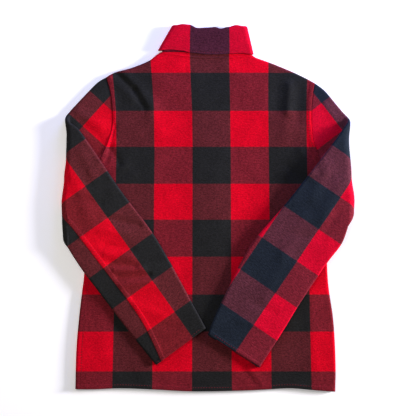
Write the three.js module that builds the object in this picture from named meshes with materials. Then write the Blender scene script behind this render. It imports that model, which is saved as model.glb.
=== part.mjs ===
import * as THREE from "three";

// A plaid jacket laid face down, both sleeves folded over its back, seen from above.
// Millimetres: x to the right, y toward the collar, z up from the surface it lies on.
// The back lies on the two fronts; the collar stands past the neck seam and folds over.

// Cloth and how its pieces lie
const CLOTH = 2.2; // wall of the brushed wool cloth
const SEAM_GAP = 0.3; // between two pieces at a seam
const BODY_HEIGHT = 8.2; // back and fronts together
const ROLL = BODY_HEIGHT / 2; // outer radius of a rolled side, shoulder or sleeve edge
const SLEEVE_REST = 0.4; // forearm above the back
const ROLL_STEPS = [0, Math.PI / 6, Math.PI / 3, Math.PI / 2]; // round a rolled edge

// Button band: the outer front laps the inner one and lies on the buttons
const LAP = 15; // each front runs this far past the centre line
const LAP_RISE = CLOTH + SEAM_GAP; // the inner front above the outer one
const LAP_RAMP = { from: -45, to: -17 }; // where the inner front climbs, in x
const BUTTON = { radius: 10, height: 2, hole: 1.1, holeRing: 2.9, count: 5, top: 228, pitch: 106 };
const BAND_RISE = BUTTON.height + SEAM_GAP; // fronts above the surface over the buttons
const BAND_SWELL = 1.8; // the back above its usual height there
const BAND = { flat: 12, fade: 60, end: -262, start: -212 }; // width and lower end of the band

// Neck: back and fronts lie this much higher round the collar, whose fall is under them
const NECK_RISE = 2.8;
const NECK = { y: 306, wide: 112, deep: 74, fade: 1.6 };
const COLLAR_MIDDLE = NECK_RISE + ROLL; // height of the collar's middle plane
const STAND_RADIUS = ROLL - CLOTH / 2; // the stand's centre line round a side
const FALL_CLEAR = 0.6; // between stand and fall at the fall's edge
const FALL_PUFF = 2.0; // more than that at the roll, on the back
const POINT_SETBACK = 30; // the collar's front edge slopes back this far to its point
const COLLAR_TOP = 366; // where the stand is as narrow as at its roll, in y
const COLLAR_END = 2; // from the centre line to the collar's front edges

// Outline of the body, seen from above. Each row is a point.
const HEM = [
  { x: -266, y: -363 },
  { x: -226, y: -363 },
  { x: -176, y: -361 },
  { x: -116, y: -363 },
  { x: -36, y: -367 },
  { x: 54, y: -366 },
  { x: 108, y: -364 },
  { x: 164, y: -361 },
  { x: 214, y: -365 },
  { x: 255, y: -368 },
];
const SIDE_LEFT = [
  { x: -266, y: -363 },
  { x: -264, y: -284 },
  { x: -258, y: -214 },
  { x: -252, y: -164 },
  { x: -248, y: -128 },
  { x: -238, y: 6 },
  { x: -232, y: 72 },
];
const SIDE_RIGHT = [
  { x: 255, y: -368 },
  { x: 256, y: -324 },
  { x: 254, y: -264 },
  { x: 250, y: -214 },
  { x: 240, y: -140 },
  { x: 237, y: -24 },
  { x: 234, y: 72 },
];
const ARMHOLE_LEFT = [
  { x: -232, y: 72 },
  { x: -212, y: 108 },
  { x: -199, y: 136 },
  { x: -191, y: 172 },
  { x: -192, y: 202 },
  { x: -196, y: 234 },
  { x: -204, y: 262 },
];
const ARMHOLE_RIGHT = [
  { x: 234, y: 72 },
  { x: 220, y: 112 },
  { x: 211, y: 136 },
  { x: 207, y: 172 },
  { x: 207.5, y: 202 },
  { x: 210, y: 228 },
  { x: 214, y: 250 },
];
const SHOULDER_LEFT = [
  { x: -204, y: 262 },
  { x: -186, y: 272 },
  { x: -156, y: 280 },
  { x: -120, y: 294 },
  { x: -104, y: 306 },
  { x: -95, y: 312 },
];
const SHOULDER_RIGHT = [
  { x: 88, y: 307 },
  { x: 96, y: 301 },
  { x: 124, y: 291 },
  { x: 164, y: 275 },
  { x: 196, y: 260 },
  { x: 214, y: 250 },
];
const NECK_BACK = [
  { x: -95, y: 312 },
  { x: -66, y: 306 },
  { x: -40, y: 301 },
  { x: 0, y: 299 },
  { x: 44, y: 299 },
  { x: 70, y: 301 },
  { x: 88, y: 307 },
];
const NECK_FRONT = [
  { x: -95, y: 312 },
  { x: -86, y: 294 },
  { x: -65, y: 275 },
  { x: -38, y: 265 },
  { x: -LAP, y: 262 },
  { x: LAP, y: 262 },
  { x: 36, y: 265 },
  { x: 61, y: 275 },
  { x: 79, y: 291 },
  { x: 88, y: 307 },
];

// Collar, seen from above. across runs from -1 at its left side to 1 at its right side;
// roll is its top edge and edge the free edge of the fall, both in y.
const COLLAR_BACK = [
  { across: -1.0, roll: 366, edge: 316 },
  { across: -0.8, roll: 368, edge: 317 },
  { across: -0.6, roll: 367, edge: 315 },
  { across: -0.3, roll: 360, edge: 310 },
  { across: 0.0, roll: 361, edge: 307 },
  { across: 0.2, roll: 362, edge: 307 },
  { across: 0.36, roll: 359, edge: 308 },
  { across: 0.56, roll: 362, edge: 309 },
  { across: 0.8, roll: 366, edge: 310 },
  { across: 1.0, roll: 364, edge: 308 },
];
const COLLAR_FRONT = [
  { across: -1.0, roll: 366, edge: 316 },
  { across: -0.75, roll: 345, edge: 290 },
  { across: -0.5, roll: 325, edge: 262 },
  { across: -0.3, roll: 313, edge: 243 },
  { across: 0.0, roll: 305, edge: 250 },
  { across: 0.3, roll: 313, edge: 243 },
  { across: 0.5, roll: 325, edge: 262 },
  { across: 0.75, roll: 345, edge: 290 },
  { across: 1.0, roll: 364, edge: 308 },
];
// Half width of the stand's centre line, at the roll and at the neck seam
// and how much wider than that the fall spreads at its edge
const COLLAR_WIDTH = {
  left: { atRoll: 67, atNeck: 94, spread: 7 },
  right: { atRoll: 73, atNeck: 87, spread: 1 },
};

// Sleeves. side is -1 for the left one. The sleeve lies flat from the armhole to the fold,
// turns over there round foldRadius and crosses the back to its cuff.
// top is the edge that runs on from the shoulder, under the edge that starts at the underarm.
// fold is its outer edge; lift says how much of the height at the fold is left further along.
const LEFT_SLEEVE = {
  side: -1,
  foldRadius: 7.0,
  armhole: ARMHOLE_LEFT,
  capTop: [
    { x: -204, y: 262 },
    { x: -222, y: 251 },
    { x: -246, y: 227 },
    { x: -275, y: 196 },
  ],
  capUnder: [
    { x: -232, y: 72 },
    { x: -239, y: 44 },
    { x: -248, y: 6 },
    { x: -262, y: -32 },
    { x: -279, y: -52 },
  ],
  fold: [
    { x: -286, y: 196 },
    { x: -286, y: 178 },
    { x: -283, y: 146 },
    { x: -284, y: 100 },
    { x: -288, y: 60 },
    { x: -293, y: 8 },
    { x: -292, y: -24 },
    { x: -290, y: -64 },
    { x: -290, y: -84 },
  ],
  top: [
    { x: -275, y: 170 },
    { x: -258, y: 157 },
    { x: -226, y: 112 },
    { x: -172, y: 32 },
    { x: -116, y: -42 },
    { x: -76, y: -108 },
    { x: -26, y: -200 },
    { x: -4, y: -240 },
  ],
  under: [
    { x: -279, y: -80 },
    { x: -268, y: -98 },
    { x: -248, y: -128 },
    { x: -216, y: -170 },
    { x: -160, y: -244 },
    { x: -104, y: -314 },
  ],
  lift: [
    { along: 0.0, top: 1.0, under: 1.0 },
    { along: 0.2, top: 1.0, under: 0.7 },
    { along: 0.45, top: 0.6, under: 0.25 },
    { along: 0.7, top: 0.3, under: 0.1 },
    { along: 1.0, top: 0.15, under: 0.0 },
  ],
};
const RIGHT_SLEEVE = {
  side: 1,
  foldRadius: 8.5,
  armhole: ARMHOLE_RIGHT,
  capTop: [
    { x: 214, y: 250 },
    { x: 234, y: 235 },
    { x: 256, y: 209 },
    { x: 272, y: 190 },
  ],
  capUnder: [
    { x: 234, y: 72 },
    { x: 243, y: 50 },
    { x: 257, y: 28 },
    { x: 279, y: 12 },
  ],
  fold: [
    { x: 285, y: 190 },
    { x: 285, y: 176 },
    { x: 282, y: 136 },
    { x: 287, y: 66 },
    { x: 293, y: 14 },
    { x: 292, y: -6 },
    { x: 291, y: -40 },
  ],
  top: [
    { x: 272, y: 162 },
    { x: 248, y: 128 },
    { x: 200, y: 66 },
    { x: 156, y: 10 },
    { x: 88, y: -70 },
    { x: 46, y: -148 },
    { x: 12, y: -220 },
    { x: 0, y: -252 },
  ],
  under: [
    { x: 279, y: -38 },
    { x: 266, y: -72 },
    { x: 236, y: -112 },
    { x: 184, y: -190 },
    { x: 150, y: -246 },
    { x: 104, y: -318 },
  ],
  lift: [
    { along: 0.0, top: 1.0, under: 1.0 },
    { along: 0.2, top: 1.25, under: 0.8 },
    { along: 0.45, top: 0.9, under: 0.35 },
    { along: 0.7, top: 0.45, under: 0.15 },
    { along: 1.0, top: 0.2, under: 0.0 },
  ],
};

// How finely the cloth is divided
const SIDE_ROWS = 11; // hem to underarm
const ARMHOLE_ROWS = 9; // underarm to shoulder
const SHOULDER_COLUMNS = 4;
const NECK_COLUMNS = 8;
const CAP_RINGS = 5;
const FOLD_RINGS = 7;
const FOREARM_RINGS = 9;
const COLLAR_COLUMNS = { back: 6, turn: 4, front: 8 };
const COLLAR_ARC_ROWS = 4; // over the roll
const BUTTON_SEGMENTS = 12;
const HOLE_SIDES = 6;
const RING_POINTS = 6; // across one layer of a sleeve, between its rolled edges
const ARMHOLE_LENGTH = 190;
const UNDERARM_DEPTHS = [0, 2, 5, 10]; // rows close together above the underarm
const NECK_DEPTHS = [2, 5]; // columns close together beside the neck point
const BAND_COLUMNS = [75, 60, 45, 31, 17, 6, -6]; // of a front, from the centre line
const AHEAD = 0.02; // step along a sleeve to find which way it runs
const BESIDE = 0.05; // step across it to find how its ring slants
const LEAST_SLANT = 0.5;

const { smoothstep, lerp } = THREE.MathUtils;

function curve(rows) {
  return new THREE.SplineCurve(rows.map((row) => new THREE.Vector2(row.x, row.y)));
}

function evenly(count, from = 0, to = 1) {
  return Array.from({ length: count + 1 }, (_, i) => lerp(from, to, i / count));
}

// The value of one column of a table at a place along another, joined smoothly
function lookUp(table, key, place, column) {
  const next = table.findIndex((row) => row[key] >= place);
  if (next <= 0) {
    return next === 0 ? table[0][column] : table[table.length - 1][column];
  }
  const before = table[next - 1];
  const after = table[next];
  const part = (place - before[key]) / (after[key] - before[key]);
  return lerp(before[column], after[column], smoothstep(part, 0, 1));
}

// A point in the area between four edges: start and end run across, low and high along
function between(start, end, low, high) {
  return (along, across) => {
    const point = new THREE.Vector2();
    point.addScaledVector(start(across), 1 - along);
    point.addScaledVector(end(across), along);
    point.addScaledVector(low(along), 1 - across);
    point.addScaledVector(high(along), across);
    point.addScaledVector(start(0), -(1 - along) * (1 - across));
    point.addScaledVector(start(1), -(1 - along) * across);
    point.addScaledVector(end(0), -along * (1 - across));
    point.addScaledVector(end(1), -along * across);
    return point;
  };
}

// A closed wall between an outer and an inner grid of points, open at the four edges of the
// grid or, where the columns close on themselves, at the first and last row
function wall(outer, inner, closed = false) {
  const rows = outer.length;
  const columns = outer[0].length;
  const points = [...outer.flat(), ...inner.flat()];
  const at = (layer, row, column) => (layer * rows + row) * columns + (column % columns);
  const faces = [];
  const quad = (a, b, c, d) => faces.push(a, b, c, a, c, d);
  const cells = closed ? columns : columns - 1;
  for (let r = 0; r < rows - 1; r++) {
    for (let c = 0; c < cells; c++) {
      quad(at(0, r, c), at(0, r, c + 1), at(0, r + 1, c + 1), at(0, r + 1, c));
      quad(at(1, r, c), at(1, r + 1, c), at(1, r + 1, c + 1), at(1, r, c + 1));
    }
  }
  for (let c = 0; c < cells; c++) {
    quad(at(0, 0, c), at(1, 0, c), at(1, 0, c + 1), at(0, 0, c + 1));
    quad(at(0, rows - 1, c), at(0, rows - 1, c + 1), at(1, rows - 1, c + 1), at(1, rows - 1, c));
  }
  if (!closed) {
    for (let r = 0; r < rows - 1; r++) {
      quad(at(0, r, 0), at(0, r + 1, 0), at(1, r + 1, 0), at(1, r, 0));
      quad(at(0, r, cells), at(1, r, cells), at(1, r + 1, cells), at(0, r + 1, cells));
    }
  }
  let volume = 0;
  for (let i = 0; i < faces.length; i += 3) {
    volume += points[faces[i]].dot(points[faces[i + 1]].clone().cross(points[faces[i + 2]]));
  }
  const geometry = new THREE.BufferGeometry().setFromPoints(points);
  geometry.setIndex(volume > 0 ? faces : faces.reverse());
  geometry.computeVertexNormals();
  return geometry;
}

// How the cloth lies: heights over the plan
function neckShare(x, y) {
  const away = Math.hypot(x / NECK.wide, (y - NECK.y) / NECK.deep);
  return 1 - smoothstep(away, 1, NECK.fade);
}

function bandShare(x, y) {
  const across = 1 - smoothstep(Math.abs(x), BAND.flat, BAND.fade);
  return across * smoothstep(y, BAND.end, BAND.start) * (1 - neckShare(x, y));
}

function backTop(x, y) {
  return BODY_HEIGHT + NECK_RISE * neckShare(x, y) + BAND_SWELL * bandShare(x, y);
}

function frontUnder(x, y) {
  return NECK_RISE * neckShare(x, y) + BAND_RISE * bandShare(x, y);
}

function lapRise(x) {
  return LAP_RISE * smoothstep(x, LAP_RAMP.from, LAP_RAMP.to);
}

// The nearest point of a chain of points, and the chain's inward direction there
function nearest(chain, point, centre) {
  let best = { distance: Infinity };
  for (let i = 0; i < chain.length - 1; i++) {
    const step = chain[i + 1].clone().sub(chain[i]);
    const reach = point.clone().sub(chain[i]).dot(step) / step.lengthSq();
    const foot = chain[i].clone().addScaledVector(step, THREE.MathUtils.clamp(reach, 0, 1));
    const distance = foot.distanceTo(point);
    if (distance < best.distance) {
      const inward = new THREE.Vector2(-step.y, step.x).normalize();
      if (inward.dot(centre.clone().sub(foot)) < 0) {
        inward.negate();
      }
      best = { distance, foot, inward };
    }
  }
  return best;
}

// One body panel. grid holds its plan points, chains its rolled edges, face is 1 for the back
// and -1 for a front, and height gives its outer face away from the rolled edges.
function panel(grid, chains, face, height) {
  const centre = new THREE.Vector2((grid[0][0].x + grid[0].at(-1).x) / 2, 0);
  const outer = [];
  const inner = [];
  for (const row of grid) {
    const outerRow = [];
    const innerRow = [];
    for (const point of row) {
      const edges = chains.map((chain) => nearest(chain, point, centre));
      const edge = edges.sort((a, b) => a.distance - b.distance)[0];
      const depth = Math.min(edge.distance, ROLL);
      const sine = Math.sqrt(ROLL ** 2 - (ROLL - depth) ** 2) / ROLL;
      const direction = depth > 0.05 ? point.clone().sub(edge.foot).normalize() : edge.inward;
      const moved = point.clone().addScaledVector(direction, CLOTH * (1 - depth / ROLL));
      const middle = height(point.x, point.y) - face * ROLL;
      const innerMiddle = height(moved.x, moved.y) - face * ROLL;
      const rise = Math.max(ROLL * sine, SEAM_GAP / 2);
      const innerRise = Math.max((ROLL - CLOTH) * sine, SEAM_GAP / 2);
      outerRow.push(new THREE.Vector3(point.x, point.y, middle + face * rise));
      innerRow.push(new THREE.Vector3(moved.x, moved.y, innerMiddle + face * innerRise));
    }
    outer.push(outerRow);
    inner.push(innerRow);
  }
  return wall(outer, inner);
}

const rollDepths = ROLL_STEPS.map((angle) => ROLL * (1 - Math.cos(angle)));
const sideSteps = evenly(SIDE_ROWS);
const armholeSteps = [
  ...UNDERARM_DEPTHS.map((depth) => depth / ARMHOLE_LENGTH),
  ...evenly(ARMHOLE_ROWS).slice(1, -1),
  ...rollDepths.map((depth) => 1 - depth / ARMHOLE_LENGTH).reverse(),
];

// Plan points of a body panel from hem to shoulder. left and right are the pairs of curves
// below and above the underarm; top runs along the upper edge.
function bodyGrid(left, right, hem, top, columns) {
  const underarm = new THREE.LineCurve(left.side.getPointAt(1), right.side.getPointAt(1));
  const lower = between(
    hem,
    (u) => underarm.getPoint(u),
    (v) => left.side.getPointAt(v),
    (v) => right.side.getPointAt(v),
  );
  const upper = between(
    (u) => underarm.getPoint(u),
    top,
    (v) => left.armhole.getPointAt(v),
    (v) => right.armhole.getPointAt(v),
  );
  const rows = sideSteps.map((v) => columns.map((u) => lower(v, u)));
  return rows.concat(armholeSteps.slice(1).map((v) => columns.map((u) => upper(v, u))));
}

const leftEdge = { side: curve(SIDE_LEFT), armhole: curve(ARMHOLE_LEFT) };
const rightEdge = { side: curve(SIDE_RIGHT), armhole: curve(ARMHOLE_RIGHT) };
const hemCurve = curve(HEM);
const shoulderLeft = curve(SHOULDER_LEFT);
const shoulderRight = curve(SHOULDER_RIGHT);
const neckBack = curve(NECK_BACK);
const neckFront = curve(NECK_FRONT);
const lastSideRow = sideSteps.length - 1;
const necklines = {};

// The place where a curve that runs steadily to the right passes x
function passing(path, x) {
  let low = 0;
  let high = 1;
  for (let i = 0; i < 40; i++) {
    const middle = (low + high) / 2;
    if (path.getPointAt(middle).x < x) {
      low = middle;
    } else {
      high = middle;
    }
  }
  return (low + high) / 2;
}

function makeBack() {
  const span = SIDE_RIGHT.at(-1).x - SIDE_LEFT.at(-1).x;
  const neckStart = (NECK_BACK[0].x - SIDE_LEFT.at(-1).x) / span;
  const neckEnd = (NECK_BACK.at(-1).x - SIDE_LEFT.at(-1).x) / span;
  const edge = rollDepths.map((depth) => depth / span);
  const columns = [
    ...edge,
    ...evenly(SHOULDER_COLUMNS, edge.at(-1), neckStart).slice(1),
    ...NECK_DEPTHS.map((depth) => neckStart + depth / span),
    ...evenly(NECK_COLUMNS, neckStart, neckEnd).slice(1, -1),
    ...NECK_DEPTHS.map((depth) => neckEnd - depth / span).reverse(),
    ...evenly(SHOULDER_COLUMNS, neckEnd, 1 - edge.at(-1)),
    ...edge.slice(0, -1).map((step) => 1 - step).reverse(),
  ];
  const top = (u) => {
    if (u < neckStart) {
      return shoulderLeft.getPointAt(u / neckStart);
    }
    if (u > neckEnd) {
      return shoulderRight.getPointAt((u - neckEnd) / (1 - neckEnd));
    }
    return neckBack.getPointAt((u - neckStart) / (neckEnd - neckStart));
  };
  const grid = bodyGrid(leftEdge, rightEdge, (u) => hemCurve.getPointAt(u), top, columns);
  const shoulder = grid.at(-1);
  const neckFrom = columns.indexOf(neckStart);
  const neckTo = columns.indexOf(neckEnd);
  necklines.back = shoulder.slice(neckFrom, neckTo + 1);
  const chains = [
    grid.slice(0, lastSideRow + 1).map((row) => row[0]),
    grid.slice(0, lastSideRow + 1).map((row) => row.at(-1)),
    shoulder.slice(0, neckFrom + 1),
    shoulder.slice(neckTo),
  ];
  return panel(grid, chains, 1, backTop);
}

// One front, from its own side to past the centre line; side is -1 for the left one
function makeFront(side) {
  const left = side < 0;
  const bandEdge = -side * LAP;
  const own = left ? leftEdge : rightEdge;
  const shoulder = left ? shoulderLeft : shoulderRight;
  const neckPoint = left ? NECK_BACK[0] : NECK_BACK.at(-1);
  const underarm = own.side.getPointAt(1);
  const span = Math.abs(bandEdge - underarm.x);
  const neckPart = Math.abs(neckPoint.x - underarm.x) / span;
  const edge = rollDepths.map((depth) => depth / span);
  const bandPart = (x) => Math.abs(side * x - underarm.x) / span;
  const columns = [
    ...edge,
    ...evenly(SHOULDER_COLUMNS - 1, edge.at(-1), neckPart).slice(1),
    ...NECK_DEPTHS.map((depth) => neckPart + depth / span),
    ...BAND_COLUMNS.map(bandPart),
    1,
  ];
  const hemFrom = (u) => {
    const x = lerp(own.side.getPointAt(0).x, bandEdge, u);
    return hemCurve.getPointAt(passing(hemCurve, x));
  };
  const neckAt = (u) => {
    const x = lerp(neckPoint.x, bandEdge, (u - neckPart) / (1 - neckPart));
    return neckFront.getPointAt(passing(neckFront, x));
  };
  const armTop = (u) => (left ? u / neckPart : 1 - u / neckPart);
  const top = (u) => (u <= neckPart ? shoulder.getPointAt(armTop(u)) : neckAt(u));
  const hemEnd = hemFrom(1);
  const neckEnd = neckAt(1);
  const bandSide = new THREE.LineCurve(hemEnd, new THREE.Vector2(bandEdge, underarm.y));
  const bandTop = new THREE.LineCurve(new THREE.Vector2(bandEdge, underarm.y), neckEnd);
  const band = { side: bandSide, armhole: bandTop };
  const grid = bodyGrid(own, band, hemFrom, top, columns);
  const neckFrom = columns.indexOf(neckPart);
  const ordered = left ? grid.at(-1).slice(neckFrom) : grid.at(-1).slice(neckFrom).reverse();
  necklines[left ? "left" : "right"] = ordered;
  const chains = [grid.slice(0, lastSideRow + 1).map((row) => row[0]), grid.at(-1).slice(0, neckFrom + 1)];
  const height = (x, y) => frontUnder(x, y) + (left ? lapRise(x) : 0);
  return panel(grid, chains, -1, height);
}

// A sleeve: rings of points round a flat tube, each ring from the top edge to the under edge
function makeSleeve(form) {
  const { side, foldRadius } = form;
  const armhole = curve(form.armhole);
  const capTop = curve(form.capTop);
  const capUnder = curve(form.capUnder);
  const top = curve(form.top);
  const under = curve(form.under);
  const reach = foldRadius + ROLL;
  const liftAtFold = 2 * foldRadius - BODY_HEIGHT - SLEEVE_REST;
  const foldX = (y) => lookUp([...form.fold].reverse(), "y", y, "x") - side * reach;
  const foldLine = (from, to) => (s) => {
    const y = lerp(from.y, to.y, s);
    return new THREE.Vector2(foldX(y), y);
  };
  const seam = (s) => {
    const next = Math.max(armholeSteps.findIndex((step) => step >= 1 - s), 1);
    const from = armholeSteps[next - 1];
    const low = armhole.getPointAt(from);
    const run = armhole.getPointAt(armholeSteps[next]).sub(low);
    const place = low.addScaledVector(run, (1 - s - from) / (armholeSteps[next] - from));
    const outward = new THREE.Vector2(run.y, -run.x).normalize();
    if (outward.x * side < 0) {
      outward.negate();
    }
    return place.addScaledVector(outward, SEAM_GAP);
  };
  const fromSeam = (path, s) => (v) => {
    const apart = seam(s).sub(path.getPointAt(0));
    return path.getPointAt(v).addScaledVector(apart, 1 - v);
  };
  const foldIn = foldLine(capTop.getPoint(1), capUnder.getPoint(1));
  const foldOut = foldLine(top.getPoint(0), under.getPoint(0));
  const cuff = (s) => new THREE.Vector2().lerpVectors(top.getPoint(1), under.getPoint(1), s);
  const cap = between(seam, foldIn, fromSeam(capTop, 0), fromSeam(capUnder, 1));
  const forearm = between(
    foldOut,
    cuff,
    (v) => top.getPointAt(v),
    (v) => under.getPointAt(v),
  );

  // place(s, n) puts a point at share s across the ring, n above the middle of the cloth pair
  const rings = [];
  for (const v of evenly(CAP_RINGS).slice(0, -1)) {
    rings.push({
      plan: (s) => cap(v, s),
      place: (s, n) => {
        const point = cap(v, s);
        return new THREE.Vector3(point.x, point.y, ROLL + n);
      },
      next: (s) => cap(v + AHEAD, s),
    });
  }
  for (const turn of evenly(FOLD_RINGS)) {
    const angle = Math.PI * turn;
    const y = (s) => lerp(foldIn(s).y, foldOut(s).y, turn);
    rings.push({
      plan: (s) => new THREE.Vector2(foldX(y(s)), y(s)),
      place: (s, n) => {
        const out = (foldRadius - n) * Math.sin(angle);
        const z = ROLL + foldRadius - (foldRadius - n) * Math.cos(angle);
        return new THREE.Vector3(foldX(y(s)) + side * out, y(s), z);
      },
      next: (s) => cap(1, s).add(cap(1, s).sub(cap(1 - AHEAD, s))),
      from: (s) => cap(1, s),
    });
  }
  for (const v of evenly(FOREARM_RINGS).slice(1)) {
    rings.push({
      plan: (s) => forearm(v, s),
      place: (s, n) => {
        const point = forearm(v, s);
        const rest = backTop(point.x, point.y) + SLEEVE_REST;
        const share = lerp(
          lookUp(form.lift, "along", v, "top"),
          lookUp(form.lift, "along", v, "under"),
          s,
        );
        return new THREE.Vector3(point.x, point.y, rest + liftAtFold * share + ROLL - n);
      },
      next: (s) => forearm(Math.min(v + AHEAD, 1), s),
      from: (s) => forearm(Math.min(v, 1 - AHEAD), s),
    });
  }

  const outer = [];
  const inner = [];
  for (const ring of rings) {
    const start = ring.plan(0);
    const length = start.distanceTo(ring.plan(1));
    const slant = (s, other) => {
      const from = ring.from ? ring.from(s) : ring.plan(s);
      const run = ring.next(s).sub(from).normalize();
      const across = ring.plan(other).sub(ring.plan(s)).normalize();
      return Math.max(Math.abs(run.cross(across)), LEAST_SLANT);
    };
    const reachTop = 1 / (slant(0, BESIDE) * length);
    const reachUnder = 1 / (slant(1, 1 - BESIDE) * length);
    const loop = (radius, inset) => {
      const half = [];
      for (const angle of ROLL_STEPS) {
        const depth = inset + radius * (1 - Math.cos(angle));
        half.push({ s: depth * reachTop, n: radius * Math.sin(angle) });
      }
      const last = 1 - (inset + radius) * reachUnder;
      for (const s of evenly(RING_POINTS, half.at(-1).s, last).slice(1, -1)) {
        half.push({ s, n: radius });
      }
      for (const angle of [...ROLL_STEPS].reverse()) {
        const depth = inset + radius * (1 - Math.cos(angle));
        half.push({ s: 1 - depth * reachUnder, n: radius * Math.sin(angle) });
      }
      const back = half.slice(1, -1).reverse().map(({ s, n }) => ({ s, n: -n }));
      return [...half, ...back].map(({ s, n }) => ring.place(s, n));
    };
    outer.push(loop(ROLL, 0));
    inner.push(loop(ROLL - CLOTH, CLOTH));
  }
  return wall(outer, inner, true);
}

// Just above a neckline, a seam's gap from it, at x
function aboveSeam(chain, x) {
  const inside = THREE.MathUtils.clamp(x, chain[0].x, chain.at(-1).x);
  const next = Math.max(chain.findIndex((point) => point.x >= inside), 1);
  const run = chain[next].clone().sub(chain[next - 1]);
  const slope = run.y / run.x;
  return chain[next - 1].y + slope * (inside - chain[next - 1].x) + SEAM_GAP * Math.hypot(1, slope);
}

// The collar: a wall that rises from the neck seam, rolls over at the top and falls outside
function makeCollar() {
  const station = (run, along, angle) => ({ run, along, angle });
  const backRun = evenly(COLLAR_COLUMNS.back).slice(0, -1).map((along) => station("back", along, 0));
  const turns = evenly(COLLAR_COLUMNS.turn).map((part) => station("turn", 1, Math.PI * part));
  const frontRun = evenly(COLLAR_COLUMNS.front).slice(1).map((along) => station("front", along, Math.PI));
  const stations = [...backRun, ...turns, ...frontRun];
  const line = [
    ...stations.slice(1).reverse().map((place) => ({ ...place, side: -1 })),
    ...stations.map((place) => ({ ...place, side: 1 })),
  ];
  const arcAngles = evenly(COLLAR_ARC_ROWS).map((part) => Math.PI * part);
  const outer = [];
  const inner = [];
  for (const { run, along, angle, side } of line) {
    const size = side < 0 ? COLLAR_WIDTH.left : COLLAR_WIDTH.right;
    const share = run === "front" ? 1 - along : along;
    const onFront = (1 - Math.cos(angle)) / 2;
    const mix = (column) => lerp(
      lookUp(COLLAR_BACK, "across", side * share, column),
      lookUp(COLLAR_FRONT, "across", side * share, column),
      onFront,
    );
    const roll = mix("roll");
    const edge = mix("edge");
    const neckLine = angle > Math.PI / 2 ? necklines[side < 0 ? "left" : "right"] : necklines.back;
    const end = run === "front" ? COLLAR_END : 0;
    const neckX = side * (lerp(end, size.atNeck - STAND_RADIUS, share) + STAND_RADIUS * Math.sin(angle));
    const spread = (CLOTH / 2) * Math.sin(angle);
    const neckY = Math.max(aboveSeam(neckLine, neckX - spread), aboveSeam(neckLine, neckX + spread));
    const puff = FALL_PUFF * (1 - onFront);
    const rollRadius = (CLOTH + FALL_CLEAR + puff) / 2;
    const edgeOut = CLOTH + FALL_CLEAR;
    const arcY = roll - rollRadius - CLOTH / 2;
    const path = [
      { n: 0, y: neckY, fall: 0 },
      { n: 0, y: (neckY + arcY) / 2, fall: 0 },
      ...arcAngles.map((turn) => ({
        n: rollRadius * (1 - Math.cos(turn)),
        y: arcY + rollRadius * Math.sin(turn),
        fall: 0,
      })),
      ...[1 / 3, 2 / 3, 1].map((part) => ({
        n: lerp(2 * rollRadius, edgeOut, part),
        y: lerp(arcY, edge, part),
        fall: part,
      })),
    ];
    const place = ({ n, y, fall }) => {
      const rise = THREE.MathUtils.clamp((y - NECK.y) / (COLLAR_TOP - NECK.y), 0, 1);
      const straight = lerp(size.atNeck, size.atRoll, rise) - STAND_RADIUS + size.spread * fall;
      const start = end + (run === "front" ? POINT_SETBACK * fall : 0);
      const x = side * (lerp(start, straight, share) + (STAND_RADIUS + n) * Math.sin(angle));
      const lap = side < 0 && run === "front" ? lapRise(x) : 0;
      return new THREE.Vector3(x, y, COLLAR_MIDDLE + (STAND_RADIUS + n) * Math.cos(angle) + lap);
    };
    const offset = (i, amount) => {
      const before = path[Math.max(i - 1, 0)];
      const after = path[Math.min(i + 1, path.length - 1)];
      const heading = new THREE.Vector2(after.n - before.n, after.y - before.y).normalize();
      const n = path[i].n + heading.y * amount;
      const y = path[i].y - heading.x * amount;
      return { n, y, fall: path[i].fall };
    };
    outer.push(path.map((_, i) => place(offset(i, -CLOTH / 2))));
    inner.push(path.map((_, i) => place(offset(i, CLOTH / 2))));
  }
  return wall(outer, inner);
}

// A flat four-hole button
function makeButton() {
  const face = new THREE.Shape().absarc(0, 0, BUTTON.radius, 0, 2 * Math.PI);
  for (let i = 0; i < 4; i++) {
    const angle = (Math.PI / 2) * (i + 0.5);
    const x = BUTTON.holeRing * Math.cos(angle);
    const y = BUTTON.holeRing * Math.sin(angle);
    const round = evenly(HOLE_SIDES).slice(1).map((turn) => {
      const place = -2 * Math.PI * turn;
      return new THREE.Vector2(x + BUTTON.hole * Math.cos(place), y + BUTTON.hole * Math.sin(place));
    });
    face.holes.push(new THREE.Path(round));
  }
  return new THREE.ExtrudeGeometry(face, {
    depth: BUTTON.height,
    curveSegments: BUTTON_SEGMENTS,
    bevelEnabled: false,
  });
}

const jacket = new THREE.Group();

function add(name, geometry, color, roughness) {
  const material = new THREE.MeshStandardMaterial({ color, roughness, metalness: 0 });
  const mesh = new THREE.Mesh(geometry, material);
  mesh.name = name;
  jacket.add(mesh);
  return mesh;
}

add("back", makeBack(), 0x7a1a22, 0.95);
add("front_left", makeFront(-1), 0x6e1a20, 0.95);
add("front_right", makeFront(1), 0x6e1a20, 0.95);
add("sleeve_left", makeSleeve(LEFT_SLEEVE), 0x8a1c26, 0.95);
add("sleeve_right", makeSleeve(RIGHT_SLEEVE), 0x8a1c26, 0.95);
add("collar", makeCollar(), 0xb01226, 0.95);
for (let i = 0; i < BUTTON.count; i++) {
  const button = add(`button_${i + 1}`, makeButton(), 0x151517, 0.35);
  button.position.set(0, BUTTON.top - i * BUTTON.pitch, 0);
}

export default jacket;
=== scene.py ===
import math

import bmesh
import bpy
import numpy as np
from mathutils import Matrix, Vector


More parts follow.
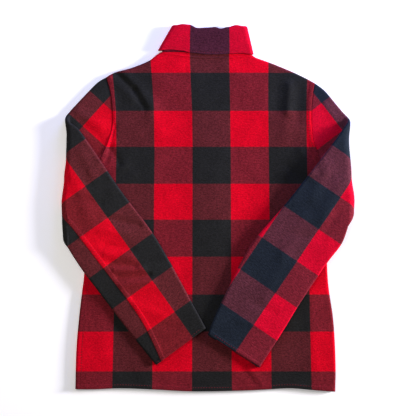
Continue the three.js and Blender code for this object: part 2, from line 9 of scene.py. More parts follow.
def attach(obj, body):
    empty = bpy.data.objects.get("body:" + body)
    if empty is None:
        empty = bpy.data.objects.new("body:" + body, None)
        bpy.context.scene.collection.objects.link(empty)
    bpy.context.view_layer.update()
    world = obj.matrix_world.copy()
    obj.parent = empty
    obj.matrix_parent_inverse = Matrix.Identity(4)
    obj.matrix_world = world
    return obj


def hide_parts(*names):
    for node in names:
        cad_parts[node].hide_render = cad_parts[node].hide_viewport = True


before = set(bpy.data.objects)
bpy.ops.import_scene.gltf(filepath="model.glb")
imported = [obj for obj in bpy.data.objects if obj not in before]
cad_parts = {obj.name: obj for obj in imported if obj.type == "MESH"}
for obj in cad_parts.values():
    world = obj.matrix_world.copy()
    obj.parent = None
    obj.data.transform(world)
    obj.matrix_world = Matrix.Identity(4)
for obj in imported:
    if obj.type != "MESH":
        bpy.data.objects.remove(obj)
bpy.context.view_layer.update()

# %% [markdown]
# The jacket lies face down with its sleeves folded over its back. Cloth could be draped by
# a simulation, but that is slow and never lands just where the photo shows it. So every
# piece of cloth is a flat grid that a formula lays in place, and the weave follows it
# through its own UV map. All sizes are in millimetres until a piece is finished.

MM = 0.001
CLOTH = 2.2  # thickness of the solids' cloth, on which the collar's section is built
SHELL = 1.9  # thickness of the cloth that is made here
BODY_HEIGHT = 8.2  # back and fronts lying on each other
ROLL = BODY_HEIGHT / 2  # radius of the rolled sides, shoulders and sleeve edges
SLEEVE_REST = 0.4  # gap between a forearm and the back below it
LAP = 15.0  # how far each front's edge goes past the middle
NECK_RISE = 2.8  # the collar's points lift the neck by this much
CHECK = 76.2  # one square of the check, three inches


# %% [markdown]
# The edge of a cut piece is a smooth line through a few measured points, as it is drawn with
# a curved ruler. A Blender curve could do that too, but here a formula has to answer for any
# place along the line, so the curve is worked out with numpy.

# %% Curves
def smooth(value, low, high):
    t = np.clip((value - low) / (high - low), 0, 1)
    return t * t * (3 - 2 * t)


def path(rows, fine=60):
    """A smooth curve through rows of x and y; it takes shares of its length."""
    rows = np.array(rows, float)
    last = len(rows) - 1
    t = np.linspace(0, last, last * fine + 1)
    i = np.minimum(t.astype(int), last - 1)
    w = (t - i)[:, None]
    before, here, there, after = (rows[np.clip(i + k, 0, last)] for k in (-1, 0, 1, 2))
    pull, push = (there - before) / 2, (after - here) / 2
    line = (2 * (here - there) + pull + push) * w**3
    line += (3 * (there - here) - 2 * pull - push) * w**2 + pull * w + here
    run = np.r_[0, np.cumsum(np.hypot(*np.diff(line, axis=0).T))]
    run /= run[-1]
    return lambda share: np.stack([np.interp(share, run, line[:, k]) for k in (0, 1)], -1)


def straight(start, end):
    start, end = np.array(start, float), np.array(end, float)
    return lambda share: start + (end - start) * np.asarray(share, float)[..., None]


print("half way along a line of 10 mm is", straight((0, 0), (10, 0))(0.5)[0], "mm")


# %% [markdown]
# Four such curves bound each panel. A blend of the four gives every point between them, so
# a square grid takes the outline of the piece, and its rows and columns follow the edges as
# yarns do. That needs no sculpting, and hems can be found again by their row.

# %% The area between four edges
def between(start, end, low, high):
    """Points between four edges: start and end run across, low and high along."""

    def place(along, across):
        a, c = np.asarray(along, float)[..., None], np.asarray(across, float)[..., None]
        zero, one = np.zeros_like(across, dtype=float), np.ones_like(across, dtype=float)
        mixed = start(across) * (1 - a) + end(across) * a + low(along) * (1 - c)
        mixed = mixed + high(along) * c
        mixed -= (start(zero) * (1 - c) + start(one) * c) * (1 - a)
        return mixed - (end(zero) * (1 - c) + end(one) * c) * a

    return place


square = between(
    straight((0, 0), (1, 0)), straight((0, 1), (1, 1)), straight((0, 0), (0, 1)), straight((1, 0), (1, 1))
)
print("the middle of a square is at", square(0.5, 0.5))


# %% [markdown]
# Some measures change along a piece, such as how far a fold sticks out. They are kept as a
# few rows, and a place between two rows gets an eased value, which leaves no kink.

# %% Tables and steps
def look_up(table, key, column, place):
    """A column of a table of rows, joined smoothly along its key."""
    keys = np.array([row[key] for row in table], float)
    values = np.array([row[column] for row in table], float)
    if keys[0] > keys[-1]:
        keys, values = keys[::-1], values[::-1]
    place = np.clip(place, keys[0], keys[-1])
    i = np.clip(np.searchsorted(keys, place) - 1, 0, len(keys) - 2)
    t = (place - keys[i]) / (keys[i + 1] - keys[i])
    return values[i] + (values[i + 1] - values[i]) * t * t * (3 - 2 * t)


def steps(count, low=0.0, high=1.0):
    return np.linspace(low, high, count + 1)


def chain(curve, count=60):
    """A curve as a row of points."""
    return curve(steps(count))


print("a quarter, eased:", round(float(smooth(0.25, 0, 1)), 3))


# %% [markdown]
# The outline of the jacket, measured as if on a cutting table: hem, side seams, armholes,
# shoulders and neckline. The same points shape the solid parts that the physics uses, but
# for the back's neck edge, which goes further up here so that no gap shows at the collar.
# -1 is the left side and 1 the right one.

# %% Outline of the body
HEM = path([
    (-266, -363), (-226, -363), (-176, -361), (-116, -363), (-36, -367),
    (54, -366), (108, -364), (164, -361), (214, -365), (255, -368),
])
SIDE = {
    -1: path([
        (-266, -363), (-264, -284), (-258, -214), (-252, -164), (-248, -128), (-238, 6), (-232, 72),
    ]),
    1: path([(255, -368), (256, -324), (254, -264), (250, -214), (240, -140), (237, -24), (234, 72)]),
}
ARMHOLE = {
    -1: path([
        (-232, 72), (-212, 108), (-199, 136), (-191, 172), (-192, 202), (-196, 234), (-204, 262),
    ]),
    1: path([(234, 72), (220, 112), (211, 136), (207, 172), (207.5, 202), (210, 228), (214, 250)]),
}
SHOULDER = {
    -1: path([(-204, 262), (-186, 272), (-156, 280), (-120, 294), (-104, 306), (-95, 312)]),
    1: path([(88, 307), (96, 301), (124, 291), (164, 275), (196, 260), (214, 250)]),
}
NECK_X = {-1: -95, 1: 88}
NECK_BACK = path([
    (-95, 312), (-66, 312), (-40, 311.5), (0, 308.5), (44, 308.5), (70, 309), (88, 307),
])
# the line on which the collar is sewn to the back
NECK_SEAM = path([(-95, 312), (-66, 307), (-40, 303), (0, 301), (44, 301), (70, 303), (88, 307)])
NECK_FRONT = path([
    (-95, 312), (-86, 294), (-65, 275), (-38, 265), (-15, 262),
    (15, 262), (36, 265), (61, 275), (79, 291), (88, 307),
])
print("the hem is", round(float(HEM(1.0)[0] - HEM(0.0)[0])), "mm wide")


# %% [markdown]
# Two layers of thick wool do not lie dead flat. The back swells a little over the button
# band and rises at the neck, where the collar's points are tucked under the fronts. These
# are heights over a place on the floor, so that every layer can add to the one below it.

# %% How two layers lie
def neck_share(x, y):
    return 1 - smooth(np.hypot(x / 112, (y - 306) / 74), 1, 1.6)


def band_share(x, y):
    return (1 - smooth(abs(x), 12, 60)) * smooth(y, -262, -212) * (1 - neck_share(x, y))


def back_top(x, y):
    return BODY_HEIGHT + NECK_RISE * neck_share(x, y) + 1.8 * band_share(x, y)


def front_under(x, y):
    return NECK_RISE * neck_share(x, y) + 2.3 * band_share(x, y)


def lap_rise(x):
    return 2.5 * smooth(x, -45, -17)


print("the back is", round(float(back_top(0.0, 0.0)), 1), "mm high over the button band")


# %% [markdown]
# Creases could be sculpted, but a list of lines is easier to correct against a
# photo. Each crease is a soft bell-shaped ridge beside a line. At a panel's edge the cloth
# rolls over by a quarter of a circle and meets the layer below.

# %% Creases and rolled edges
def edge_distance(points, chains):
    """How far points are from the nearest of some chains of points."""
    best = np.full(points.shape[:-1], np.inf)
    for line in chains:
        for start, end in zip(line[:-1], line[1:]):
            run = end - start
            t = np.clip(((points - start) @ run) / (run @ run), 0, 1)
            best = np.minimum(best, np.linalg.norm(points - start - t[..., None] * run, axis=-1))
    return best


def ridges(x, y, rows):
    """Soft ridges or troughs: each row is from x, y to x, y with a height and a width."""
    total = np.zeros_like(x)
    place = np.stack([x, y], -1)
    for x0, y0, x1, y1, height, width in rows:
        start, run = np.array((x0, y0), float), np.array((x1 - x0, y1 - y0), float)
        t = np.clip(((place - start) @ run) / (run @ run), 0, 1)
        gap = np.linalg.norm(place - start - t[..., None] * run, axis=-1)
        total += height * np.exp(-((gap / width) ** 2))
    return total


def roll_over(distance):
    """How far a rolled edge has dropped, at a distance from the panel's outline."""
    depth = np.clip(distance, 0, ROLL)
    return ROLL - np.sqrt(ROLL**2 - (ROLL - depth) ** 2)


print("a rolled edge drops", round(float(roll_over(1.0)), 2), "mm at 1 mm from the outline")


# %% [markdown]
# Real cloth is woven flat and sewn afterwards. So a sheet starts as a bmesh grid, in which
# each vertex knows its column and row, and the formula says where it lies and where it is
# on the flat cloth. A sleeve's grid closes into a tube along its one lengthwise seam. The
# Solidify modifier then gives the cloth its thickness, inward, so the outline stays.

# %% Laying a grid as cloth
def lay_sheet(name, points, cloth, tube=False, outward=1):
    """points and cloth are arrays of rows by columns: places in mm, and squares of the check."""
    rows, columns = points.shape[:2]
    bm = bmesh.new()
    bmesh.ops.create_grid(bm, x_segments=columns - 1, y_segments=rows - 1, size=0.5)
    layer = bm.loops.layers.uv.new("cloth")
    spot = {}
    for vert in bm.verts:
        column = round((vert.co.x + 0.5) * (columns - 1))
        row = round((vert.co.y + 0.5) * (rows - 1))
        spot[vert] = (row, column)
    for face in bm.faces:
        for loop in face.loops:
            loop[layer].uv = cloth[spot[loop.vert]] * CHECK * MM
    for vert, (row, column) in spot.items():
        vert.co = Vector(points[row, column] * MM)
    if tube:
        bmesh.ops.remove_doubles(bm, verts=bm.verts, dist=1e-6)
    if outward < 0:
        bmesh.ops.reverse_faces(bm, faces=bm.faces)
    for face in bm.faces:
        face.smooth = True
    mesh = bpy.data.meshes.new(name)
    bm.to_mesh(mesh)
    bm.free()
    piece = bpy.data.objects.new(name, mesh)
    bpy.context.collection.objects.link(piece)
    solid = piece.modifiers.new("thickness", "SOLIDIFY")
    solid.thickness = SHELL * MM
    solid.offset = -1.0
    solid.use_even_offset = False
    print(name, "has", len(mesh.polygons), "faces")
    return piece


# %% [markdown]
# A hem, a row of stitches and a rolled edge are only a few millimetres wide. An even grid
# that is fine enough for them would be far too heavy, so the grid's lines crowd together at
# the edges and are wide apart in the middle. All these steps are millimetres from an edge.

# %% Where the grid's lines go
ROLL_ANGLES = np.radians([0, 18, 36, 54, 72, 90])
ROLL_DEPTHS = [ROLL * (1 - math.cos(angle)) for angle in ROLL_ANGLES]
UNDERARM = (SIDE[-1](1.0), SIDE[1](1.0))
SIDE_LENGTH, ARMHOLE_LENGTH = 436, 190
HEM_STEPS = [0, 0.6, 1.4, 2.8, 4.2, 5.6, 7.0, 8.0, 8.8, 9.6, 11.5, 14]
SIDE_ROWS = np.r_[HEM_STEPS, np.linspace(18, SIDE_LENGTH, 110)] / SIDE_LENGTH
TOP_DEPTHS = ROLL_DEPTHS + [5.2, 6.0, 6.9, 7.8, 8.8, 10.0, 11.5]
ARM_ROWS = np.r_[steps(58, 0, 0.93), [1 - depth / ARMHOLE_LENGTH for depth in TOP_DEPTHS[::-1]]]
EDGE_STEPS = ROLL_DEPTHS + [5.4, 6.6, 7.6, 8.4, 9.2, 10.4, 12.5]
print("a body panel has", len(SIDE_ROWS) + len(ARM_ROWS) - 1, "rows")


# %% [markdown]
# A panel has two halves: from the hem to the underarms it ends at the side seams, and above
# them at the armholes. Its check is counted in squares from what the photo shows, with the
# small stretch that pulled cloth has.

# %% The plan of a body panel
CHECK_HEIGHTS = [-364, -200, 116, 200, 290, 370]
SQUARE_WIDTHS = [79.9, 78.4, 76.3, 76.3, 78.4, 79.2]
WARP_STARTS = [48.5, 47.5, 46, 45, 43, 42]  # where a black band of warp starts, at each height
WEFT_LINES = [346, 270, 194, 122, 48, -24, -98, -174, -248, -328, -404]  # the squares' edges


def body_plan(left, right, hem, top, columns):
    """left and right are pairs of curves, below and above the underarm."""
    underarm = straight(left[0](1.0), right[0](1.0))
    lower = between(hem, underarm, left[0], right[0])
    upper = between(underarm, top, left[1], right[1])
    rows = [lower(np.full_like(columns, v), columns) for v in SIDE_ROWS]
    rows += [upper(np.full_like(columns, v), columns) for v in ARM_ROWS[1:]]
    return np.array(rows)


def rolled(plan, chains, face, height):
    """Lift a plan to its height; its rolled edges curve to half way down."""
    drop = roll_over(edge_distance(plan, chains))
    seam_gap = 0.15
    z = height(plan[..., 0], plan[..., 1]) - face * np.minimum(drop, ROLL - seam_gap)
    return np.concatenate([plan, z[..., None]], -1)


def body_check(plan):
    """Where a place on the body is on the check: squares counted across and down."""
    x, y = plan[..., 0], plan[..., 1]
    start = np.interp(y, CHECK_HEIGHTS, WARP_STARTS)
    across = (x - start) / np.interp(y, CHECK_HEIGHTS, SQUARE_WIDTHS)
    down = np.interp(-y, [-line for line in WEFT_LINES], np.arange(len(WEFT_LINES)) - 1.0)
    return np.stack([across, down], -1)


print("at the chest a square is", np.interp(150, CHECK_HEIGHTS, SQUARE_WIDTHS), "mm wide")


# %% [markdown]
# The back's creases follow the cloth's own pull: a trough and a ridge run down from the left
# shoulder, a soft fold stands beside the right armhole, and slack cloth gathers under both
# arms. A row goes from x, y to x, y, with a height that is below zero for a trough, and a
# width. Short straight rows that meet make a bent crease.

# %% Creases of the back
BACK_CREASES = [
    (-182, 270, -147, 236, -3.0, 5.5),
    (-147, 236, -126, 200, -2.8, 5.5),
    (-196, 262, -152, 218, 1.4, 8),
    (-168, 270, -112, 206, 2.6, 12),
    (-120, 200, -96, 150, 1.2, 15),
    (163, 246, 160, 192, 3.0, 8),
    (160, 192, 152, 140, 1.2, 11),
    (184, 236, 180, 176, -1.6, 9),
    (140, 262, 136, 200, -1.2, 12),
    (-186, 166, -203, 92, -1.8, 4),
    (-200, 140, -214, 96, 1.6, 5),
    (-196, 120, -178, 90, -2.2, 7),
    (-196, 60, -166, 84, 1.4, 8),
    (-192, 36, -150, 64, 1.3, 11),
    (206, 70, 186, 116, 1.8, 8),
    (196, 50, 160, 84, -1.1, 10),
    (84, -324, 108, -352, 1.4, 7),
    (66, -318, 92, -350, -0.9, 7),
    (-150, -300, -120, -356, 0.8, 14),
    (-222, -150, -206, -300, 0.9, 14),
    (206, -180, 214, -320, 0.9, 14),
    (-60, 282, -20, 262, 0.7, 12),
    (40, 280, 70, 262, 0.8, 12),
    (-30, 150, 30, 120, 0.7, 26),
]
print(len(BACK_CREASES), "creases on the back")


# %% [markdown]
# A seam is thicker than plain cloth, because its allowances are folded under it, and the
# thread of the topstitching pulls a shallow groove. Both come from the distance to an edge:
# a raised band, a worn outer corner and a groove where the stitches go.

# %% Slack and seams of the back
def slack(x, y):
    """Long, shallow waves of cloth that isn't pressed."""
    wave = np.sin(x / 41 + 1.3) * np.cos(y / 57 - 0.4) + 0.7 * np.sin((x + y) / 73 + 2.1)
    return 0.45 * wave * (1 - smooth(y, 250, 320))


def seam_rise(x, y):
    """The hem is turned up and the armhole seam is folded flat toward the body."""
    place = np.stack([x, y], -1)
    hem = edge_distance(place, [chain(HEM)])
    arm = edge_distance(place, [chain(ARMHOLE[-1]), chain(ARMHOLE[1])])
    rise = 0.9 * (1 - smooth(hem, 8.0, 9.6)) - 0.5 * (1 - smooth(hem, 0, 1.6))
    rise -= 0.35 * np.exp(-(((hem - 7.0) / 1.1) ** 2))
    rise += 0.8 * (1 - smooth(arm, 7.6, 9.6)) - 0.7 * (1 - smooth(arm, 0, 1.6))
    rise -= 0.3 * np.exp(-(((arm - 6.6) / 1.0) ** 2))
    # the lower left side seam is stitched too
    side = edge_distance(place, [chain(SIDE[-1])])
    rise -= 0.35 * np.exp(-(((side - 10.4) / 1.0) ** 2)) * (1 - smooth(y, -160, -100))
    # a welt stands along the neck seam, with a groove above it
    line = chain(NECK_SEAM)
    above = y - np.interp(x, line[:, 0], line[:, 1])
    welt = 1.3 * np.exp(-((above / 1.5) ** 2)) - 1.0 * np.exp(-(((above - 3.0) / 1.5) ** 2))
    return rise + welt * (1 - smooth(abs(x), 84, 96))


def back_height(x, y):
    creases = ridges(x, y, BACK_CREASES) + slack(x, y)
    return back_top(x, y) + creases + seam_rise(x, y) + 0.3


hem_ridge = seam_rise(np.array([0.0]), HEM(0.5)[1:] + 4)[0]
print("4 mm inside the hem the cloth is", round(float(hem_ridge), 2), "mm higher")


# %% [markdown]
# The back is one wide panel without a middle seam. Its upper edge is three curves in one:
# left shoulder, neck and right shoulder. A column goes exactly through each of the two neck
# points, so that the corners there stay sharp.

# %% Back
def back_columns():
    span = UNDERARM[1][0] - UNDERARM[0][0]
    edge = np.array(EDGE_STEPS) / span
    start, end = ((NECK_X[side] - UNDERARM[0][0]) / span for side in (-1, 1))
    columns = np.r_[
        edge, steps(34, edge[-1], start)[1:], steps(60, start, end)[1:],
        steps(32, end, 1 - edge[-1])[1:], 1 - edge[::-1][1:],
    ]
    return columns, start, end


def back_upper_edge(start, end):
    def place(share):
        share = np.asarray(share, float)
        left = SHOULDER[-1](np.clip(share / start, 0, 1))
        right = SHOULDER[1](np.clip((share - end) / (1 - end), 0, 1))
        neck = NECK_BACK(np.clip((share - start) / (end - start), 0, 1))
        pick = share[..., None]
        return np.where(pick < start, left, np.where(pick > end, right, neck))

    return place


def make_back():
    columns, start, end = back_columns()
    top = back_upper_edge(start, end)
    plan = body_plan((SIDE[-1], ARMHOLE[-1]), (SIDE[1], ARMHOLE[1]), HEM, top, columns)
    chains = [chain(SIDE[-1]), chain(SIDE[1]), chain(SHOULDER[-1]), chain(SHOULDER[1])]
    points = rolled(plan, chains, 1, back_height)
    return points, lay_sheet("back_cloth", points, body_check(plan))


back_points, back = make_back()


# %% [markdown]
# The two fronts are under the back. The right one is the outer one: it laps the left one
# by the width of the button band. They are only seen from below and at the hem, and their
# folded edge is stitched twice, so their columns crowd at the stitches.

# %% Fronts
BAND_STEPS = [40, 34, 31, 29.5, 28, 26, 24.5, 22, 18, 14, 10, 7, 5, 3.5, 2, 1, 0]


def make_front(side):
    edge_x = -side * LAP
    neck_x = NECK_X[side]
    arm_x = UNDERARM[(side + 1) // 2][0]
    span = abs(edge_x - arm_x)
    neck_part = abs(neck_x - arm_x) / span
    edge = np.array(EDGE_STEPS) / span
    hem_band = 1 - np.array(BAND_STEPS) / span
    columns = np.r_[
        edge, steps(24, edge[-1], neck_part)[1:], steps(40, neck_part, hem_band[0])[1:], hem_band[1:]
    ]
    hem_line, neck_line = chain(HEM, 400), chain(NECK_FRONT, 400)

    def hem(share):
        x = SIDE[side](0.0)[0] + (edge_x - SIDE[side](0.0)[0]) * share
        return np.stack([x, np.interp(x, hem_line[:, 0], hem_line[:, 1])], -1)

    def top(share):
        share = np.asarray(share, float)
        arm = np.clip(share / neck_part, 0, 1)
        shoulder = SHOULDER[side](arm if side < 0 else 1 - arm)
        x = neck_x + (edge_x - neck_x) * np.clip((share - neck_part) / (1 - neck_part), 0, 1)
        neck = np.stack([x, np.interp(x, neck_line[:, 0], neck_line[:, 1])], -1)
        return np.where(share[..., None] <= neck_part, shoulder, neck)

    middle = (edge_x, UNDERARM[0][1])
    band = (straight(hem(1.0), middle), straight(middle, top(np.array(1.0))))
    plan = body_plan((SIDE[side], ARMHOLE[side]), band, hem, top, columns)

    def height(x, y):
        folded = 1 - np.clip(seam_rise(x, y), -0.6, 1)
        lift = lap_rise(x) if side < 0 else 0.42 * smooth(abs(x - edge_x), 28, 30)
        return front_under(x, y) + 0.5 * folded + lift

    points = rolled(plan, [chain(SIDE[side]), chain(SHOULDER[side])], -1, height)
    name = {-1: "front_left_cloth", 1: "front_right_cloth"}[side]
    cloth = body_check(plan) * (-1, 1) + (-1 if side < 0 else 0, 0)
    return points, lay_sheet(name, points, cloth, outward=side)


front_left_points, front_left = make_front(-1)
front_right_points, front_right = make_front(1)


# %% [markdown]
# A sleeve is a flat tube. It lies out from the armhole, turns over at the fold and crosses
# the back to its cuff. Seen from above it has four edges before the fold and four after it,
# and "lift" says how far the forearm still stands off the back at its top and under edge,
# for each share of its length, because a fold in thick wool springs up.

# %% Outlines of the sleeves
LEFT_SLEEVE = {
    "side": -1,
    "fold_radius": 7.0,
    "cap_top": path([(-204, 262), (-222, 251), (-246, 227), (-275, 196)]),
    "cap_under": path([(-232, 72), (-252, 46), (-263, 14), (-271, -24), (-279, -52)]),
    "fold": [
        (-286, 196), (-286, 178), (-283, 146), (-284, 100), (-288, 60),
        (-293, 8), (-292, -24), (-290, -64), (-290, -84),
    ],
    "top": path([
        (-275, 170), (-258, 157), (-226, 112), (-172, 32),
        (-116, -42), (-76, -108), (-26, -200), (-4, -240),
    ]),
    "under": path([(-279, -80), (-268, -98), (-248, -128), (-216, -170), (-160, -244), (-104, -314)]),
    "lift": [(0, 1.0, 1.0), (0.2, 1.0, 0.7), (0.45, 0.6, 0.25), (0.7, 0.3, 0.1), (1.0, 0.15, 0.0)],
}
RIGHT_SLEEVE = {
    "side": 1,
    "fold_radius": 8.5,
    "cap_top": path([(214, 250), (234, 235), (256, 209), (272, 190)]),
    "cap_under": path([(234, 72), (243, 50), (257, 28), (279, 12)]),
    "fold": [(285, 190), (285, 176), (282, 136), (287, 66), (293, 14), (292, -6), (291, -40)],
    "top": path([
        (272, 162), (248, 128), (200, 66), (156, 10), (88, -70), (46, -148), (12, -220), (0, -252),
    ]),
    "under": path([(279, -38), (266, -72), (236, -112), (184, -190), (150, -246), (104, -318)]),
    "lift": [(0, 1.0, 1.0), (0.2, 1.25, 0.8), (0.45, 0.9, 0.35), (0.7, 0.45, 0.15), (1.0, 0.2, 0.0)],
}
for form in (LEFT_SLEEVE, RIGHT_SLEEVE):
    forearm_run = form["top"](1.0) - form["top"](0.0)
    print("a forearm is", round(float(np.hypot(*forearm_run))), "mm long")


# %% [markdown]
# The tube is built ring by ring, as a knitter would make it. The rings go from the armhole
# over the cap, round the fold and down the forearm, and crowd together at the cuff. A ring
# also knows the places a little ahead and behind, which tell how slanted it is.

# %% Rings of a sleeve
FOREARM_LENGTH = 420  # about the mean length from the fold to the cuff
CAP_RINGS, FOLD_RINGS, FOREARM_RINGS = 40, 18, 120
CUFF_RINGS = 1 - np.array([12, 10, 9, 8, 7, 6, 5, 4, 3, 1.6, 0.7, 0]) / FOREARM_LENGTH


def turned(vector):
    """A quarter turn to the left."""
    return np.stack([-vector[..., 1], vector[..., 0]], -1)


def unit(vector):
    return vector / np.maximum(np.linalg.norm(vector, axis=-1, keepdims=True), 1e-9)


def sleeve_rings(form):
    """One entry a ring: which part it is in, how far along, and its places."""
    side, radius = form["side"], form["fold_radius"]
    reach = radius + ROLL
    lift_at_fold = 2 * radius - BODY_HEIGHT - SLEEVE_REST
    armhole = ARMHOLE[side]

    def fold_x(y):
        return look_up(form["fold"], 1, 0, y) - side * reach

    def fold_line(start, end):
        def place(s):
            y = start[1] + (end[1] - start[1]) * np.asarray(s, float)
            return np.stack([fold_x(y), y], -1)

        return place

    def seam(s):
        v = 1 - np.asarray(s, float)
        run = armhole(np.minimum(v + 0.004, 1)) - armhole(np.maximum(v - 0.004, 0))
        outward = unit(turned(run))
        outward *= np.where(outward[..., :1] * side < 0, -1, 1)
        return armhole(v) + 0.3 * outward

    def from_seam(curve, s):
        apart = seam(s) - curve(0.0)
        return lambda v: curve(v) + apart * (1 - np.asarray(v, float)[..., None])

    fold_in = fold_line(form["cap_top"](1.0), form["cap_under"](1.0))
    fold_out = fold_line(form["top"](0.0), form["under"](0.0))
    cuff = straight(form["top"](1.0), form["under"](1.0))
    cap = between(seam, fold_in, from_seam(form["cap_top"], 0.0), from_seam(form["cap_under"], 1.0))
    forearm = between(fold_out, cuff, form["top"], form["under"])

    def ring_of(kind, v, plan, ahead, behind):
        return {"kind": kind, "v": v, "plan": plan, "ahead": ahead, "behind": behind}

    rings = []
    for v in steps(CAP_RINGS)[:-1]:
        at = lambda s, v=v: cap(np.full_like(s, v), s)
        ahead = lambda s, v=v: cap(np.full_like(s, v + 0.02), s)
        rings.append(ring_of("cap", v, at, ahead, at))
    for turn in steps(FOLD_RINGS):
        def at(s, turn=turn):
            y = fold_in(s)[..., 1] * (1 - turn) + fold_out(s)[..., 1] * turn
            return np.stack([fold_x(y), y], -1)

        ahead = lambda s: cap(np.ones_like(s), s)
        behind = lambda s: cap(np.full_like(s, 0.98), s)
        rings.append(ring_of("fold", turn, at, ahead, behind))
    for v in np.r_[steps(FOREARM_RINGS, 0, 0.965)[1:], CUFF_RINGS]:
        at = lambda s, v=v: forearm(np.full_like(s, v), s)
        ahead = lambda s, v=v: forearm(np.full_like(s, min(v + 0.02, 1)), s)
        behind = lambda s, v=v: forearm(np.full_like(s, min(v, 0.98)), s)
        rings.append(ring_of("forearm", v, at, ahead, behind))
    return rings, fold_x, lift_at_fold


print("a sleeve has", CAP_RINGS + FOLD_RINGS + FOREARM_RINGS + len(CUFF_RINGS) + 1, "rings")


# %% [markdown]
# Each ring is a flattened loop: two straight halves, joined by half circles at the sleeve's
# edges. On the left sleeve some points crowd at the lengthwise seam, whose raised band and
# two rows of stitches have to show.

# %% Round one ring
RING_POINTS = 76
SEAM_STEPS = [-12, -10, -9, -8.2, -7.4, -6.4, -4.5, -2.6, -1.6, -0.8, -0.2, 0.5, 1.4, 3, 6]
BEFORE_SEAM, AFTER_SEAM = 56, 12  # points between the rolled edges and the seam


def seam_share(ring):
    """Where round the ring the lengthwise seam is."""
    if ring["kind"] != "forearm":
        # it starts near the underarm and drifts to where the forearm's seam begins
        turn = 1.0 if ring["kind"] == "fold" else ring["v"]
        return 0.9 - 0.156 * turn
    s = steps(400)
    return float(np.interp(0, past_seam(ring["plan"](s)), s))


def ring_loop(ring, seamed):
    """Shares and heights round a ring: the upper half, then the lower half back again."""
    ends = ring["plan"](np.array([0.0, 1.0]))
    length = np.linalg.norm(ends[1] - ends[0])
    run = unit(ring["ahead"](np.array([0.0, 1.0])) - ring["behind"](np.array([0.0, 1.0])))
    across = unit(ring["plan"](np.array([0.05, 0.95])) - ends)
    slant = np.maximum(np.abs(run[:, 0] * across[:, 1] - run[:, 1] * across[:, 0]), 0.5)
    reach_top, reach_under = 1 / (slant * length)
    depth = ROLL * (1 - np.cos(ROLL_ANGLES))
    rise = ROLL * np.sin(ROLL_ANGLES)
    first, last = depth * reach_top, 1 - depth[::-1] * reach_under
    if seamed:
        seam = seam_share(ring) + np.array(SEAM_STEPS) * reach_top
        seam = np.clip(seam, 0.1, last[0] - 0.02)
        before = np.linspace(first[-1], seam[0], BEFORE_SEAM + 2)[1:-1]
        middle = np.r_[before, seam, np.linspace(seam[-1], last[0], AFTER_SEAM + 2)[1:-1]]
    else:
        middle = np.linspace(first[-1], last[0], RING_POINTS + 1)[1:-1]
    s = np.r_[first, middle, last]
    n = np.r_[rise, np.full_like(middle, ROLL), rise[::-1]]
    return np.r_[s, s[::-1]], np.r_[n, -n[::-1]]


around = 2 * (2 * len(ROLL_ANGLES) + BEFORE_SEAM + len(SEAM_STEPS) + AFTER_SEAM)
print("a ring of the left sleeve has", around, "points")


# %% [markdown]
# A sleeve is cut along the yarns, so each visible half shows the check turned to its own
# angle. The angle, the size of a square and one known corner, where four squares meet, are
# enough to find every other place on it. That is simpler than unwrapping the finished tube.

# %% The check turned to a sleeve
def turned_check(corner, along, pitch, start, mirror=False):
    """Counts across and down from a corner, in squares of the pitch; along is to the cuff."""
    corner, along = np.array(corner, float), unit(np.array(along, float))
    across = turned(along) * (-1 if mirror else 1)

    def place(plan):
        gap = plan - corner
        return np.stack([gap @ across / pitch[0] + start[0], gap @ along / pitch[1] + start[1]], -1)

    return place


LEFT_SQUARE = 76.8
left_grain = turned_check((-282, 110), (0.579, -0.815), (LEFT_SQUARE, LEFT_SQUARE), (1.10, 1.0))
left_cap = turned_check((-210, 210), (-0.67, -0.74), (76.2, 62), (1.0, -1.0), mirror=True)
right_forearm = turned_check((264, 20), (-0.561, -0.828), (84, 76.8), (0.98, 2.0), mirror=True)
right_cap = turned_check((228, 210), (0.61, -0.79), (76.2, 69), (1.0, -1.0))
print("the right cuff is", round(float(right_forearm(np.array([50, -285]))[1]), 1), "squares down")


# %% [markdown]
# The left sleeve's lengthwise seam shows. The check doesn't match across it, as on most
# ready-made sleeves: a red band ends at the seam, and the cloth past it starts with black.

# %% The left sleeve's seam
SEAM_LINE = path([
    (-292, -16), (-272, -38), (-256, -58), (-224, -100), (-192, -142),
    (-160, -184), (-134, -222), (-112, -264), (-94, -304),
])


def past_seam(plan):
    """Millimetres past the left sleeve's lengthwise seam, toward its under edge."""
    line = chain(SEAM_LINE, 80)
    nearest = np.argmin(np.linalg.norm(plan[..., None, :] - line, axis=-1), axis=-1)
    nearest = np.minimum(nearest, len(line) - 2)
    run = unit(line[nearest + 1] - line[nearest])
    gap = plan - line[nearest]
    return -(gap[..., 0] * -run[..., 1] + gap[..., 1] * run[..., 0])


def left_forearm(plan):
    """The red band ends at the seam, where the count across goes below zero."""
    count = left_grain(plan)
    past = past_seam(plan)
    width = np.maximum((1 - count[..., 0]) * LEFT_SQUARE - past, 50)
    count[..., 0] = np.where(count[..., 0] < 1, -past / width, count[..., 0])
    return count


print("the seam is", round(float(np.hypot(*(SEAM_LINE(1.0) - SEAM_LINE(0.0))))), "mm long")


# %% [markdown]
# Two layers of cloth go round the fold, one outside the other, and the outer one has the
# longer way. So each is unrolled by the length of its own arc, and the check goes on
# without a break from the forearm, round the fold, to the hidden half of the cap.

